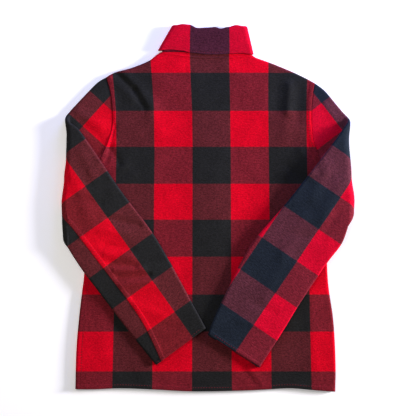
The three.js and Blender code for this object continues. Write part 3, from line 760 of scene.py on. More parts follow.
# %% The check round the fold
def sleeve_check(form, ring, fold_x, plan, n, on_forearm, on_cap):
    """n is above zero on the half that faces up on the cap, and down on the forearm."""
    side, radius = form["side"], form["fold_radius"]
    upper = n > 0
    x, y = plan[..., 0], plan[..., 1]
    line = fold_x(y)
    away = abs(line - x)
    outside, inside = radius + ROLL, radius - ROLL
    top_edge = form["top"](0.0), form["top"](1.0)
    mirror_run = unit(top_edge[1] - top_edge[0])
    if ring["kind"] == "forearm":
        gap = plan - top_edge[0]
        inner = top_edge[0] + 2 * (gap @ mirror_run)[..., None] * mirror_run - gap
        return np.where(upper[..., None], on_forearm(inner), on_forearm(plan))
    if ring["kind"] == "fold":
        still_to_turn = math.pi * (1 - ring["v"])
        outer = np.stack([line + side * outside * still_to_turn, y], -1)
        inner = np.stack([line + side * inside * math.pi * ring["v"], y], -1)
    else:
        outer = np.stack([line + side * (outside * math.pi + away), y], -1)
        inner = plan
    return np.where(upper[..., None], on_cap(inner), on_forearm(outer))


# %% [markdown]
# The forearms carry the wrinkles of a sleeve that was folded by hand: short ones across the
# left sleeve, where its seam is pulled, and longer soft ones along the right. More stand
# beside both armholes. The rows are as in the back's list.

# %% Creases of the sleeves
LEFT_CREASES = [
    (-200, -20, -140, -34, -2.2, 7),
    (-214, -44, -160, -52, 1.6, 8),
    (-206, -74, -150, -82, -1.5, 7),
    (-204, -92, -150, -98, 1.7, 7),
    (-196, -110, -146, -116, -2.4, 6),
    (-186, -124, -128, -122, 2.4, 6),
    (-180, -138, -118, -133, -2.8, 6),
    (-170, -154, -112, -146, 2.0, 7),
    (-150, -176, -104, -172, -1.2, 8),
    (-266, 60, -238, -20, 1.8, 13),
    (-250, 110, -226, 60, 1.4, 11),
    (-262, 20, -214, 8, -1.2, 9),
    (-140, -196, -92, -214, 1.3, 9),
    (-112, -232, -64, -238, -1.0, 9),
    (-252, -60, -226, -40, 1.2, 8),
]
RIGHT_CREASES = [
    (262, 50, 228, -20, 1.8, 13),
    (240, 84, 206, 20, 1.2, 11),
    (190, -20, 150, -92, 1.6, 13),
    (210, -60, 168, -52, -1.1, 9),
    (146, -110, 112, -176, 1.3, 12),
    (132, -210, 84, -186, -1.0, 9),
    (258, -10, 226, -60, -1.6, 11),
    (110, -240, 60, -222, 1.1, 8),
]
CAP_CREASES = {
    -1: [
        (-226, 88, -197, 116, 3.0, 6),
        (-232, 74, -205, 92, -2.4, 6),
        (-238, 66, -214, 80, 2.2, 6),
        (-258, 190, -214, 166, 2.2, 10),
        (-254, 166, -220, 142, -1.6, 10),
        (-266, 130, -226, 92, 1.6, 11),
    ],
    1: [
        (224, 90, 250, 112, 2.6, 6),
        (230, 80, 262, 108, -2.0, 6),
        (222, 124, 246, 152, 1.6, 9),
        (236, 206, 256, 176, 1.4, 9),
    ],
}
print(len(LEFT_CREASES), "and", len(RIGHT_CREASES), "creases on the forearms")


# %% [markdown]
# The cuff is a plain turned hem. The lengthwise seam is felled: one allowance wraps the
# other and both are stitched flat, which gives a raised band with a groove at each row of
# stitches. The cloth past it falls away toward the sleeve's under edge.

# %% Cuffs and the felled seam
RIGHT_CUFF_REACH = 2.6  # the right cuff's hidden layer sticks out below the other


def cuff_rise(v):
    edge = (1 - v) * FOREARM_LENGTH
    rise = 0.8 * (1 - smooth(edge, 7.0, 9.0)) - 0.6 * (1 - smooth(edge, 0, 1.6))
    return rise - 0.3 * math.exp(-(((edge - 6.0) / 1.0) ** 2))


def felled(past):
    """The height beside the seam, at a distance past it."""
    band = smooth(past, -9.0, -7.4) * (1 - smooth(past, -0.8, 0.5))
    rows = np.exp(-(((past + 1.6) / 0.9) ** 2)) + np.exp(-(((past + 6.4) / 0.9) ** 2))
    return 1.1 * band - 0.35 * rows - 2.6 * smooth(past, 0, 46)


print("the felled seam is", round(float(felled(np.array(-4.0))), 2), "mm high")


# %% [markdown]
# Now the rings get their heights. The cap rolls from the armhole, the fold turns by half a
# circle, and the forearm rests on the back with its gap and its lift. Only the half that
# shows gets the creases, and the hidden half stays plain.

# %% Sleeves
def make_sleeve(form, name, creases, on_forearm, on_cap):
    side, radius = form["side"], form["fold_radius"]
    rings, fold_x, lift_at_fold = sleeve_rings(form)
    points, cloth = [], []
    for ring in rings:
        s, n = ring_loop(ring, side < 0)
        plan = ring["plan"](s)
        x, y = plan[..., 0], plan[..., 1]
        cloth.append(sleeve_check(form, ring, fold_x, plan, n, on_forearm, on_cap))
        show = np.clip(n / ROLL, -1, 1)
        if ring["kind"] == "cap":
            soft = ridges(x, y, CAP_CREASES[side]) - 0.3 * (1 - smooth(ring["v"], 0, 0.02))
            z = ROLL + n + soft * np.clip(show, 0, 1)
        elif ring["kind"] == "fold":
            angle = math.pi * ring["v"]
            x = x + side * (radius - n) * math.sin(angle)
            z = ROLL + radius - (radius - n) * math.cos(angle)
        else:
            settled = smooth(ring["v"], 0, 0.15)
            below = back_top(x, y) * (1 - settled) + back_height(x, y) * settled
            rest = below + SLEEVE_REST
            high = look_up(form["lift"], 0, 1, ring["v"])
            low = look_up(form["lift"], 0, 2, ring["v"])
            share = high + (low - high) * s
            soft = ridges(x, y, creases) + 0.4 * slack(y, x) + cuff_rise(ring["v"])
            if side < 0:
                soft = soft + felled(past_seam(plan))
            z = rest + lift_at_fold * share + ROLL - n + soft * np.clip(-show, 0, 1)
        points.append(np.stack([x, y, z], -1))
        if ring["kind"] == "forearm" and side > 0:
            run = unit(form["top"](1.0) - form["top"](0.97))
            reach = RIGHT_CUFF_REACH * smooth(ring["v"], 0.9, 1.0) * np.clip(show, 0, 1)
            points[-1][:, :2] += reach[:, None] * run
    points, cloth = np.array(points), np.array(cloth)
    return points, lay_sheet(name, points, cloth, tube=True, outward=side)


sleeve_left_points, sleeve_left = make_sleeve(
    LEFT_SLEEVE, "sleeve_left_cloth", LEFT_CREASES, left_forearm, left_cap
)
sleeve_right_points, sleeve_right = make_sleeve(
    RIGHT_SLEEVE, "sleeve_right_cloth", RIGHT_CREASES, right_forearm, right_cap
)


# %% [markdown]
# The collar stands up from the neck seam, rolls over and falls outside itself. Its section
# looks like a narrow arch, and that arch is swept round the neck, along the back, round the
# side and along the front to the collar's point. The rows give, for each share of the way
# from the middle, how high the roll and the fall's edge lie.

# %% Shape of the collar
COLLAR_MIDDLE = NECK_RISE + ROLL  # height of the loop that the collar goes round
STAND_RADIUS = ROLL - CLOTH / 2  # radius with which the stand turns at the side of the neck
COLLAR_BACK = [
    (-1.0, 366, 316), (-0.8, 368, 317), (-0.6, 367, 315), (-0.3, 360, 310), (0.0, 361, 307),
    (0.2, 362, 307), (0.36, 359, 308), (0.56, 362, 309), (0.8, 366, 310), (1.0, 364, 308),
]
COLLAR_FRONT = [
    (-1.0, 366, 316), (-0.75, 345, 290), (-0.5, 325, 262), (-0.3, 313, 243), (0.0, 305, 250),
    (0.3, 313, 243), (0.5, 325, 262), (0.75, 345, 290), (1.0, 364, 308),
]
# half widths at the roll and at the neck, and how far the fall spreads beyond them
COLLAR_WIDTH = {-1: (67, 94, 7), 1: (73, 87, 1)}
FALL_GAP = 0.6  # between the fall and the stand
STITCH_LINE = 0.93  # the share of the fall at which it is stitched
print("the collar is", COLLAR_WIDTH[-1][1] + COLLAR_WIDTH[1][1], "mm wide at the neck")


# %% [markdown]
# One column of the collar is its section at one station. The section is drawn flat, as
# distance from the neck (n) against height on the table (y), moved out by half the cloth's
# thickness, and then turned to the station's angle.

# %% One section of the collar
def above_seam(line, x):
    y = np.interp(x, line[:, 0], line[:, 1])
    slope = (np.interp(x + 1, line[:, 0], line[:, 1]) - np.interp(x - 1, line[:, 0], line[:, 1])) / 2
    return y + 0.3 * np.hypot(1, slope)


def collar_stations():
    back = [("back", along, 0.0) for along in steps(24)[:-1]]
    turn = [("turn", 1.0, math.pi * part) for part in steps(10)]
    front = [("front", along, math.pi) for along in steps(30)[1:]]
    stations = back + turn + front
    return [(-1, *station) for station in stations[:0:-1]] + [(1, *station) for station in stations]


def collar_column(side, run, along, angle, necks):
    at_roll, at_neck, spread_wide = COLLAR_WIDTH[side]
    share = 1 - along if run == "front" else along
    on_front = (1 - math.cos(angle)) / 2
    roll, edge = (
        look_up(COLLAR_BACK, 0, k, side * share) * (1 - on_front)
        + look_up(COLLAR_FRONT, 0, k, side * share) * on_front
        for k in (1, 2)
    )
    line = necks[side] if angle > math.pi / 2 else necks[0]
    # the collar's two points stay apart, and more so toward their tips
    end = 2 if run == "front" else 0
    neck_x = side * (end + (at_neck - STAND_RADIUS - end) * share + STAND_RADIUS * math.sin(angle))
    spread = CLOTH / 2 * math.sin(angle)
    neck_y = max(above_seam(line, neck_x - spread), above_seam(line, neck_x + spread))
    # the roll is fuller at the back of the neck than in front
    radius = (CLOTH + FALL_GAP + 2.0 * (1 - on_front)) / 2
    arc_y = roll - radius - CLOTH / 2
    arc = np.linspace(0, math.pi, 11)
    stand, fall = steps(8)[:-1], np.r_[steps(14, 0, 0.86)[1:], 0.88, 0.905, 0.93, 0.96, 0.985, 1]
    fall_n = 2 * radius + (CLOTH + FALL_GAP - 2 * radius) * fall
    n = np.r_[0 * stand, radius * (1 - np.cos(arc)), fall_n]
    stand_y, fall_y = neck_y + (arc_y - neck_y) * stand, arc_y + (edge - arc_y) * fall
    y = np.r_[stand_y, arc_y + radius * np.sin(arc), fall_y]
    down = np.r_[0 * stand, 0 * arc, fall]
    n = n - 0.4 * np.exp(-(((down - STITCH_LINE) / 0.02) ** 2))
    run_n, run_y = np.gradient(n), np.gradient(y)
    size = np.hypot(run_n, run_y)
    n, y = n - run_y / size * CLOTH / 2, y + run_n / size * CLOTH / 2
    rise = np.clip((y - 306) / 60, 0, 1)
    wide = at_neck + (at_roll - at_neck) * rise - STAND_RADIUS + spread_wide * down
    start = end + (30 * down if run == "front" else 0)
    x = side * (start + (wide - start) * share + (STAND_RADIUS + n) * math.sin(angle))
    lap = lap_rise(x) if side < 0 and run == "front" else 0
    z = COLLAR_MIDDLE + (STAND_RADIUS + n) * math.cos(angle) + lap
    tall = np.r_[0, np.cumsum(np.hypot(np.diff(n), np.diff(y)))]
    return np.stack([x, y, z], -1), tall


print("the collar has", len(collar_stations()), "sections")


# %% [markdown]
# The sections side by side are the collar's grid. Its check is counted along the grid's own
# lines, as the cloth was woven: across along the lower edge, and down along each section.

# %% Collar
COLLAR_START, COLLAR_SQUARE = 44, 80  # where a square starts beside the middle, and its width


def make_collar():
    neck_back = chain(NECK_BACK, 200)
    neck_front = chain(NECK_FRONT, 200)
    necks = {0: neck_back, -1: neck_front, 1: neck_front}
    columns = [collar_column(*station, necks) for station in collar_stations()]
    points = np.array([column[0] for column in columns]).transpose(1, 0, 2)
    tall = np.array([column[1] for column in columns]).T
    middle = len(columns) // 2
    gap = np.cumsum(np.linalg.norm(np.diff(points, axis=1), axis=-1), axis=1)
    gap = np.concatenate([np.zeros_like(gap[:, :1]), gap], 1)
    across = (gap - gap[:, middle : middle + 1] - COLLAR_START) / COLLAR_SQUARE
    down = 1.9 - (tall[-1:] - tall) / CHECK
    cloth = np.stack([across, down], -1)
    return points, lay_sheet("collar_cloth", points, cloth, outward=-1)


collar_points, collar = make_collar()


# %% [markdown]
# Five flat four-hole buttons close the front. They are sewn to the band underneath, come
# through the outer band's buttonholes and lie between the jacket and the floor. A button is
# turned from a disc of resin. Here a circle with four small circles in it is filled and
# extruded, which leaves real holes, and a bevel softens the rim.

# %% Buttons
BUTTON_RADIUS, BUTTON_HEIGHT, HOLE_RADIUS = 10, 2.0, 1.1
HOLE_RING = 2.05  # from the middle to a hole, along each side of the square


def make_button(name, y):
    bm = bmesh.new()
    bmesh.ops.create_circle(bm, segments=72, radius=BUTTON_RADIUS)
    for sx in (-1, 1):
        for sy in (-1, 1):
            middle = Matrix.Translation((sx * HOLE_RING, sy * HOLE_RING, 0))
            bmesh.ops.create_circle(bm, segments=20, radius=HOLE_RADIUS, matrix=middle)
    bmesh.ops.triangle_fill(bm, use_beauty=True, edges=bm.edges[:])
    grown = bmesh.ops.extrude_face_region(bm, geom=bm.faces[:])["geom"]
    moved = [part for part in grown if isinstance(part, bmesh.types.BMVert)]
    bmesh.ops.translate(bm, verts=moved, vec=(0, 0, BUTTON_HEIGHT))
    bmesh.ops.recalc_face_normals(bm, faces=bm.faces[:])
    rim = [
        edge for edge in bm.edges
        if all(abs(vert.co.xy.length - BUTTON_RADIUS) < 0.01 for vert in edge.verts)
        and abs(edge.verts[0].co.z - edge.verts[1].co.z) < 0.01
    ]
    bmesh.ops.bevel(
        bm, geom=rim, offset=0.55, segments=4, profile=0.5, affect="EDGES", material=-1
    )
    bmesh.ops.translate(bm, verts=bm.verts[:], vec=(0, y, 0))
    bmesh.ops.scale(bm, verts=bm.verts[:], vec=(MM, MM, MM))
    mesh = bpy.data.meshes.new(name)
    bm.to_mesh(mesh)
    bm.free()
    button = bpy.data.objects.new(name, mesh)
    bpy.context.collection.objects.link(button)
    return button


BUTTON_PLACES = [228 - 106 * i for i in range(5)]
buttons = [make_button(f"button_{i + 1}_resin", y) for i, y in enumerate(BUTTON_PLACES)]
print(len(buttons), "buttons, each", len(buttons[0].data.polygons), "faces")


# %% [markdown]
# A material in Blender is a tree of nodes. One small function adds a node, sets it up and
# joins its inputs, so that the materials below read like a recipe. Colours are written as
# sRGB hex values, as a paint program shows them, and are turned to the linear numbers that
# a shader wants.

# %% Tools for materials
def linear(code):
    parts = [int(code[i : i + 2], 16) / 255 for i in (0, 2, 4)]
    return tuple(c / 12.92 if c <= 0.04045 else ((c + 0.055) / 1.055) ** 2.4 for c in parts) + (1,)


def add_node(tree, kind, links=None, **settings):
    """A node with its settings; links maps an input's name or number to a value or a socket."""
    node = tree.nodes.new(kind)
    for key, value in settings.items():
        setattr(node, key, value)
    for key, value in (links or {}).items():
        socket = node.inputs[key]
        if isinstance(value, bpy.types.NodeSocket):
            tree.links.new(value, socket)
        else:
            socket.default_value = value
    return node


def new_material(name):
    material = bpy.data.materials.new(name)
    material.use_nodes = True
    material.node_tree.nodes.clear()
    shader = add_node(material.node_tree, "ShaderNodeBsdfPrincipled")
    add_node(material.node_tree, "ShaderNodeOutputMaterial", {"Surface": shader.outputs[0]})
    return material, shader


print("a mid grey of 808080 is", round(linear("808080")[0], 3), "in linear numbers")


# %% [markdown]
# The cloth is a buffalo check: wide bands of red and black warp yarn cross equally wide
# bands of red and black weft yarn. Where both are red the square is red, where both are
# black it is black, and where they cross it is maroon. The weave shows a little more of the
# warp, so red warp under black weft is the warmer maroon. A sine wave over the cloth's own
# metres is above zero on one band and below it on the next, which needs no picture.

# %% The check
BAND_EDGE = 0.03  # of the sine, as wide as two brushed yarns


def check_color(tree, uv, red, mixed_weft, mixed_warp, black):
    """The colour, a socket that is 1 where either yarn is red, and one for both."""
    # yarns wander by a fraction of a millimetre, so no stripe has a ruled edge
    wander = add_node(tree, "ShaderNodeTexNoise", {"Vector": uv, "Scale": 260.0, "Detail": 2.0})
    moved = add_node(
        tree, "ShaderNodeVectorMath", {0: wander.outputs["Color"], 1: (0.0012, 0.0012, 0)},
        operation="MULTIPLY",
    ).outputs[0]
    place = add_node(tree, "ShaderNodeVectorMath", {0: uv, 1: moved}).outputs[0]
    parts = add_node(tree, "ShaderNodeSeparateXYZ", {0: place})
    is_red = []
    for part, sign in (("X", 1), ("Y", -1)):
        turns = add_node(
            tree, "ShaderNodeMath", {0: parts.outputs[part], 1: math.pi / (CHECK * MM)},
            operation="MULTIPLY",
        ).outputs[0]
        wave = add_node(tree, "ShaderNodeMath", {0: turns}, operation="SINE").outputs[0]
        edges = {0: wave, 1: -sign * BAND_EDGE, 2: sign * BAND_EDGE}
        is_red.append(add_node(
            tree, "ShaderNodeMapRange", edges, interpolation_type="SMOOTHSTEP"
        ).outputs[0])
    warp, weft = is_red
    both = add_node(tree, "ShaderNodeMath", {0: warp, 1: weft}, operation="MULTIPLY").outputs[0]
    either = add_node(tree, "ShaderNodeMath", {0: warp, 1: weft}, operation="MAXIMUM").outputs[0]
    mixed = add_node(
        tree, "ShaderNodeMix", {0: warp, 6: linear(mixed_weft), 7: linear(mixed_warp)},
        data_type="RGBA",
    ).outputs[2]
    color = add_node(
        tree, "ShaderNodeMix", {0: both, 6: mixed, 7: linear(red)}, data_type="RGBA"
    ).outputs[2]
    color = add_node(
        tree, "ShaderNodeMix", {0: either, 6: linear(black), 7: color}, data_type="RGBA"
    ).outputs[2]
    return color, either, both


print("a square is", CHECK, "mm, and its edge is soft over", round(CHECK * 2 * BAND_EDGE / math.pi, 1), "mm")


# %% [markdown]
# Wool cloth is fulled and brushed, so its twill hardly shows, and short fibres of every tone
# lie over it. The twill is a sine along the diagonal. The fibres and their clumps are noise,
# stretched a little along the weft. Real fibres are too fine to show at this distance, so
# the noise is drawn in grains of about 2 and 4 mm.

# %% Twill and fibres
TWILL = 2.6  # mm along a yarn from one diagonal to the next, four yarns of 0.65 mm


def brushed_fibres(tree, uv, seed):
    """Sockets for how light the fibres are and how high they stand."""
    flat = add_node(tree, "ShaderNodeSeparateXYZ", {0: uv})
    slope = add_node(tree, "ShaderNodeMath", {0: flat.outputs["X"], 1: flat.outputs["Y"]}).outputs[0]
    turns = add_node(
        tree, "ShaderNodeMath", {0: slope, 1: 2 * math.pi / (TWILL * MM)}, operation="MULTIPLY"
    ).outputs[0]
    twill = add_node(tree, "ShaderNodeMath", {0: turns}, operation="SINE").outputs[0]
    drawn = add_node(
        tree, "ShaderNodeVectorMath", {0: uv, 1: (0.7, 1.5, 1)}, operation="MULTIPLY"
    ).outputs[0]
    fibre = add_node(
        tree, "ShaderNodeTexNoise",
        {"Vector": drawn, "Scale": 430.0, "Detail": 4.0, "Roughness": 0.75, "W": seed},
        noise_dimensions="4D",
    ).outputs[0]
    clump = add_node(
        tree, "ShaderNodeTexNoise", {"Vector": drawn, "Scale": 230.0, "Detail": 2.0, "W": seed + 5},
        noise_dimensions="4D",
    ).outputs[0]
    speck = add_node(
        tree, "ShaderNodeMath", {0: twill, 1: 0.08, 2: fibre}, operation="MULTIPLY_ADD"
    ).outputs[0]
    speck = add_node(tree, "ShaderNodeMath", {0: speck, 1: 0.25}, operation="SUBTRACT").outputs[0]
    speck = add_node(
        tree, "ShaderNodeMath", {0: clump, 1: 0.5, 2: speck}, operation="MULTIPLY_ADD"
    ).outputs[0]
    light = add_node(
        tree, "ShaderNodeMapRange", {0: speck, 1: 0.3, 2: 0.7, 3: 0.58, 4: 1.45},
        interpolation_type="SMOOTHSTEP",
    ).outputs[0]
    height = add_node(tree, "ShaderNodeMath", {0: fibre, 1: clump}).outputs[0]
    height = add_node(
        tree, "ShaderNodeMath", {0: twill, 1: 0.16, 2: height}, operation="MULTIPLY_ADD"
    ).outputs[0]
    return light, height


print("the twill has", round(10 / TWILL * 4, 1), "yarns a centimetre")


# %% [markdown]
# The fibres are mixed into the check: most in the maroon squares, whose yarns differ in
# tone, and least in the red ones. Brushing leaves broad paler and darker patches, and a few
# pale fibres stick out. Wool hardly shines, so its roughness is high and its specular level
# low. The sheen is the nap: it gives the eye a soft, paler edge where the cloth turns away.

# %% Woven and brushed wool
def wool(name, red, mixed_weft, mixed_warp, black, seed, nap, glow):
    """Four colours of the check, then the sheen's weight and colour."""
    material, shader = new_material(name)
    tree = material.node_tree
    uv = add_node(tree, "ShaderNodeUVMap", uv_map="cloth").outputs[0]
    color, either, both = check_color(tree, uv, red, mixed_weft, mixed_warp, black)
    light, height = brushed_fibres(tree, uv, seed)

    plain = add_node(tree, "ShaderNodeMath", {0: both, 1: 0.7}, operation="MULTIPLY").outputs[0]
    loose = add_node(tree, "ShaderNodeMath", {0: either, 1: plain}, operation="SUBTRACT").outputs[0]
    least = add_node(
        tree, "ShaderNodeMath", {0: either, 1: -0.4, 2: 0.7}, operation="MULTIPLY_ADD"
    ).outputs[0]
    share = add_node(
        tree, "ShaderNodeMath", {0: loose, 1: 0.7, 2: least}, operation="MULTIPLY_ADD"
    ).outputs[0]
    shade = add_node(tree, "ShaderNodeCombineXYZ", {0: light, 1: light, 2: light}).outputs[0]
    color = add_node(
        tree, "ShaderNodeMix", {0: share, 6: color, 7: shade}, data_type="RGBA",
        blend_type="MULTIPLY",
    ).outputs[2]

    brushed = add_node(
        tree, "ShaderNodeTexNoise", {"Vector": uv, "Scale": 32.0, "Detail": 3.0, "W": seed + 3},
        noise_dimensions="4D",
    ).outputs[0]
    patch = add_node(
        tree, "ShaderNodeMapRange", {0: brushed, 1: 0.3, 2: 0.7, 3: 0.9, 4: 1.1},
        interpolation_type="SMOOTHSTEP",
    ).outputs[0]
    patches = add_node(tree, "ShaderNodeCombineXYZ", {0: patch, 1: patch, 2: patch}).outputs[0]
    color = add_node(
        tree, "ShaderNodeMix", {0: 0.8, 6: color, 7: patches}, data_type="RGBA",
        blend_type="MULTIPLY",
    ).outputs[2]

    lint = add_node(
        tree, "ShaderNodeTexNoise", {"Vector": uv, "Scale": 480.0, "Detail": 1.0, "W": seed + 7},
        noise_dimensions="4D",
    ).outputs[0]
    pale = add_node(
        tree, "ShaderNodeMapRange", {0: lint, 1: 0.72, 2: 0.80, 3: 0, 4: 0.4},
        interpolation_type="SMOOTHSTEP",
    ).outputs[0]
    color = add_node(
        tree, "ShaderNodeMix", {0: pale, 6: color, 7: linear("8c8076")}, data_type="RGBA"
    ).outputs[2]

    bump = add_node(
        tree, "ShaderNodeBump", {"Strength": 0.8, "Distance": 0.0009, "Height": height}
    ).outputs[0]
    tree.links.new(color, shader.inputs["Base Color"])
    tree.links.new(bump, shader.inputs["Normal"])
    shader.inputs["Roughness"].default_value = 0.92
    shader.inputs["IOR"].default_value = 1.45
    shader.inputs["Specular IOR Level"].default_value = 0.1
    shader.inputs["Sheen Weight"].default_value = nap
    shader.inputs["Sheen Roughness"].default_value = 0.4
    shader.inputs["Sheen Tint"].default_value = linear(glow)
    print(name, "has", len(tree.nodes), "nodes")
    return material


# %% [markdown]
# All pieces are cut from one cloth. The photo shows it a little warmer on the back and the
# left sleeve, and cooler on the right sleeve and the collar, because its light is mixed. The
# light here makes only part of that, so those two pieces get slightly cooler base colours and
# sheen tints, chosen to match the picture: that coolness is painted cool light.

# %% The jacket's wool
WOOL_BODY = wool(
    "brushed wool twill, body", "ce0426", "62292d", "7c242e", "2a2a29", 1, 0.025, "b8908c"
)
WOOL_LEFT = wool(
    "brushed wool twill, left sleeve", "cc0624", "662d30", "7c252b", "2c2c2b", 2, 0.025, "b8908c"
)
# the right sleeve's cooler colours and sheen tint are painted cool light
WOOL_RIGHT_PAINTED_COOL_LIGHT = wool(
    "brushed wool twill, right sleeve", "cc0a32", "5e323c", "7c2834", "272e37", 4, 0.03, "b0a0a8"
)
# the collar's cooler colours and sheen tint are painted cool light
WOOL_COLLAR_PAINTED_COOL_LIGHT = wool(
    "brushed wool twill, collar", "c4082e", "502533", "741e34", "28292d", 3, 0.05, "b0a0a8"
)
for piece, material in (
    (back, WOOL_BODY), (front_left, WOOL_BODY), (front_right, WOOL_BODY),
    (sleeve_left, WOOL_LEFT), (sleeve_right, WOOL_RIGHT_PAINTED_COOL_LIGHT), (collar, WOOL_COLLAR_PAINTED_COOL_LIGHT),
):
    piece.data.materials.append(material)
    print(piece.name, "is of", material.name)


# %% [markdown]
# Topstitching holds the folded edges flat: along the hem, the armholes, the cuffs, the
# collar and the front bands, and twice beside the felled seam. A picture of stitches would
# look flat from the side. So every stitch is a short, slightly sunk grain of thread with few
# faces, set along a line of the cloth's own grid, so that it follows each crease.

# %% A row of stitches
STITCH, PITCH, THREAD = 3.6, 5.4, 0.5  # length, spacing and half thickness


def normals_of(points):
    across = np.gradient(points, axis=1)
    along = np.gradient(points, axis=0)
    normal = np.cross(across, along)
    return normal / np.maximum(np.linalg.norm(normal, axis=-1, keepdims=True), 1e-9)


def sew(name, lines):
    """lines are pairs of point and normal rows; stitches go along each of them."""
    bm = bmesh.new()
    count = 0
    for points, normals in lines:
        run = np.r_[0, np.cumsum(np.linalg.norm(np.diff(points, axis=0), axis=-1))]
        for start in np.arange(1.5, run[-1] - STITCH, PITCH):
            ends = [
                np.array([np.interp(at, run, points[:, k]) for k in range(3)])
                for at in (start, start + STITCH)
            ]
            up = np.array([np.interp(start + STITCH / 2, run, normals[:, k]) for k in range(3)])
            up = Vector(up).normalized()
            forward = Vector(ends[1] - ends[0]).normalized()
            side = up.cross(forward).normalized()
            turn = Matrix((forward, side, up)).transposed().to_4x4()
            middle = Vector((ends[0] + ends[1]) / 2) + up * THREAD * 0.35
            size = Matrix.Diagonal((STITCH / 2, THREAD, THREAD * 0.8, 1))
            place = Matrix.Translation(middle * MM) @ turn @ Matrix.Scale(MM, 4) @ size
            bmesh.ops.create_uvsphere(bm, u_segments=6, v_segments=5, radius=1, matrix=place)
            count += 1
    for face in bm.faces:
        face.smooth = True
    mesh = bpy.data.meshes.new(name)
    bm.to_mesh(mesh)
    bm.free()
    thread = bpy.data.objects.new(name, mesh)
    bpy.context.collection.objects.link(thread)
    print(name, "has", count, "stitches")
    return thread


print("a stitch is", STITCH, "mm long, and one starts every", PITCH, "mm")


# %% [markdown]
# The rows of stitches lie in the grooves that were left for them. The hem's, the armholes'
# and the collar's are found again by their place in the lists of steps. The lower left side
# seam is stitched as well, as the photo shows.

# %% Stitches on the back and the collar
def grid_line(points, normals, row=slice(None), column=slice(None)):
    return points[row, column], normals[row, column]


back_normals = normals_of(back_points)
hem_row = HEM_STEPS.index(7.0)
# the armhole's rows, from just above the underarm to below the shoulder
arm_start = len(SIDE_ROWS) + 2
arm_rows = slice(arm_start, len(back_points) - 8)
arm_column = EDGE_STEPS.index(6.6)
hem_thread = sew("hem_stitches", [
    grid_line(back_points, back_normals, row=hem_row, column=slice(6, -6)),
    grid_line(back_points, back_normals, row=arm_rows, column=arm_column),
    grid_line(back_points, back_normals, row=arm_rows, column=-1 - arm_column),
    grid_line(back_points, back_normals, row=slice(hem_row, 70), column=EDGE_STEPS.index(10.4)),
])
collar_normals = normals_of(collar_points)
collar_thread = sew("collar_stitches", [
    grid_line(collar_points, collar_normals, row=-4, column=slice(2, -2)),
])


# %% [markdown]
# A cuff is stitched all round, so it needs a row on the layer that shows and one on the
# layer below. The left sleeve adds its two rows along the felled seam, from the middle of
# the fold to the cuff.

# %% Stitches on the sleeves
def cuff_and_seam(points, seam_columns):
    """The lower half of each ring is the one that shows on the forearm."""
    normals = normals_of(points)
    half = points.shape[1] // 2
    cuff = grid_line(points, normals, row=-6, column=slice(half + 8, -8))
    under = grid_line(points, normals, row=-6, column=slice(8, half - 8))
    rows = slice(CAP_RINGS + FOLD_RINGS // 2, -8)
    seams = [grid_line(points, normals, row=rows, column=column) for column in seam_columns]
    return [cuff, under, *seams]


before = len(ROLL_ANGLES) + BEFORE_SEAM
seam_columns = [-1 - (before + SEAM_STEPS.index(step)) for step in (-6.4, -1.6)]
sleeve_left_thread = sew("sleeve_left_stitches", cuff_and_seam(sleeve_left_points, seam_columns))
sleeve_right_thread = sew("sleeve_right_stitches", cuff_and_seam(sleeve_right_points, []))


# %% [markdown]
# Below, the outer front has two rows along its folded band, and both fronts have a row at
# the hem and at the armhole. They are the same kind of lines, on the side that faces down.

# %% Stitches on the fronts
front_right_normals = normals_of(front_right_points)
front_left_normals = normals_of(front_left_points)
band_columns = [-1 - BAND_STEPS[::-1].index(step) for step in (5, 24.5)]
front_rows = slice(hem_row, -4)
front_right_thread = sew("front_right_stitches", [
    grid_line(front_right_points, front_right_normals, row=hem_row, column=slice(6, -6)),
    *[grid_line(front_right_points, front_right_normals, front_rows, c) for c in band_columns],
    grid_line(front_right_points, front_right_normals, row=arm_rows, column=arm_column),
])
front_left_thread = sew("front_left_stitches", [
    grid_line(front_left_points, -front_left_normals, row=hem_row, column=slice(6, -16)),
    grid_line(front_left_points, -front_left_normals, row=arm_rows, column=arm_column),
])


# %% [markdown]
# The thread is spun polyester. It is smoother than wool, so it catches a little light, and
# its twist is a noise of about half a millimetre that makes it paler and darker along the
# stitch. Dark red thread sinks into the red squares and just shows on the black ones.

# %% Thread
def thread_material(name, color):
    material, shader = new_material(name)
    tree = material.node_tree
    place = add_node(tree, "ShaderNodeTexCoord").outputs["Object"]
    twist = add_node(tree, "ShaderNodeTexNoise", {"Vector": place, "Scale": 1800.0}).outputs[0]
    tone = add_node(
        tree, "ShaderNodeMapRange", {0: twist, 1: 0.3, 2: 0.7, 3: 0.7, 4: 1.2},
        interpolation_type="SMOOTHSTEP",
    ).outputs[0]
    tones = add_node(tree, "ShaderNodeCombineXYZ", {0: tone, 1: tone, 2: tone}).outputs[0]
    twisted = add_node(
        tree, "ShaderNodeMix", {0: 1.0, 6: linear(color), 7: tones}, data_type="RGBA",
        blend_type="MULTIPLY",
    ).outputs[2]
    tree.links.new(twisted, shader.inputs["Base Color"])
    shader.inputs["Roughness"].default_value = 0.6
    shader.inputs["Specular IOR Level"].default_value = 0.3
    return material


RED_THREAD = thread_material("spun polyester thread, dark red", "881a2a")
BLACK_THREAD = thread_material("spun polyester thread, black", "1b1b1d")
THREADS = [
    hem_thread, collar_thread, sleeve_left_thread, sleeve_right_thread,
    front_right_thread, front_left_thread,
]
for thread in THREADS:
    thread.data.materials.append(RED_THREAD)
print(len(THREADS), "rows or groups of stitches are in red thread")


# %% [markdown]
# Each button is held by two double bars of thread through its holes, and its buttonhole is edged
# with close stitches across the cut. Both are the same grains of thread as before, along
# short lines that are given one by one.

# %% Button thread and buttonholes
BAR_HEIGHT, BUTTONHOLE_HEIGHT = 0.1, 2.5


def straight_line(*ends):
    """A stitched line that faces down, between two places."""
    ends = np.array(ends, float)
    return ends, np.broadcast_to(np.array([0.0, 0.0, -1.0]), ends.shape)


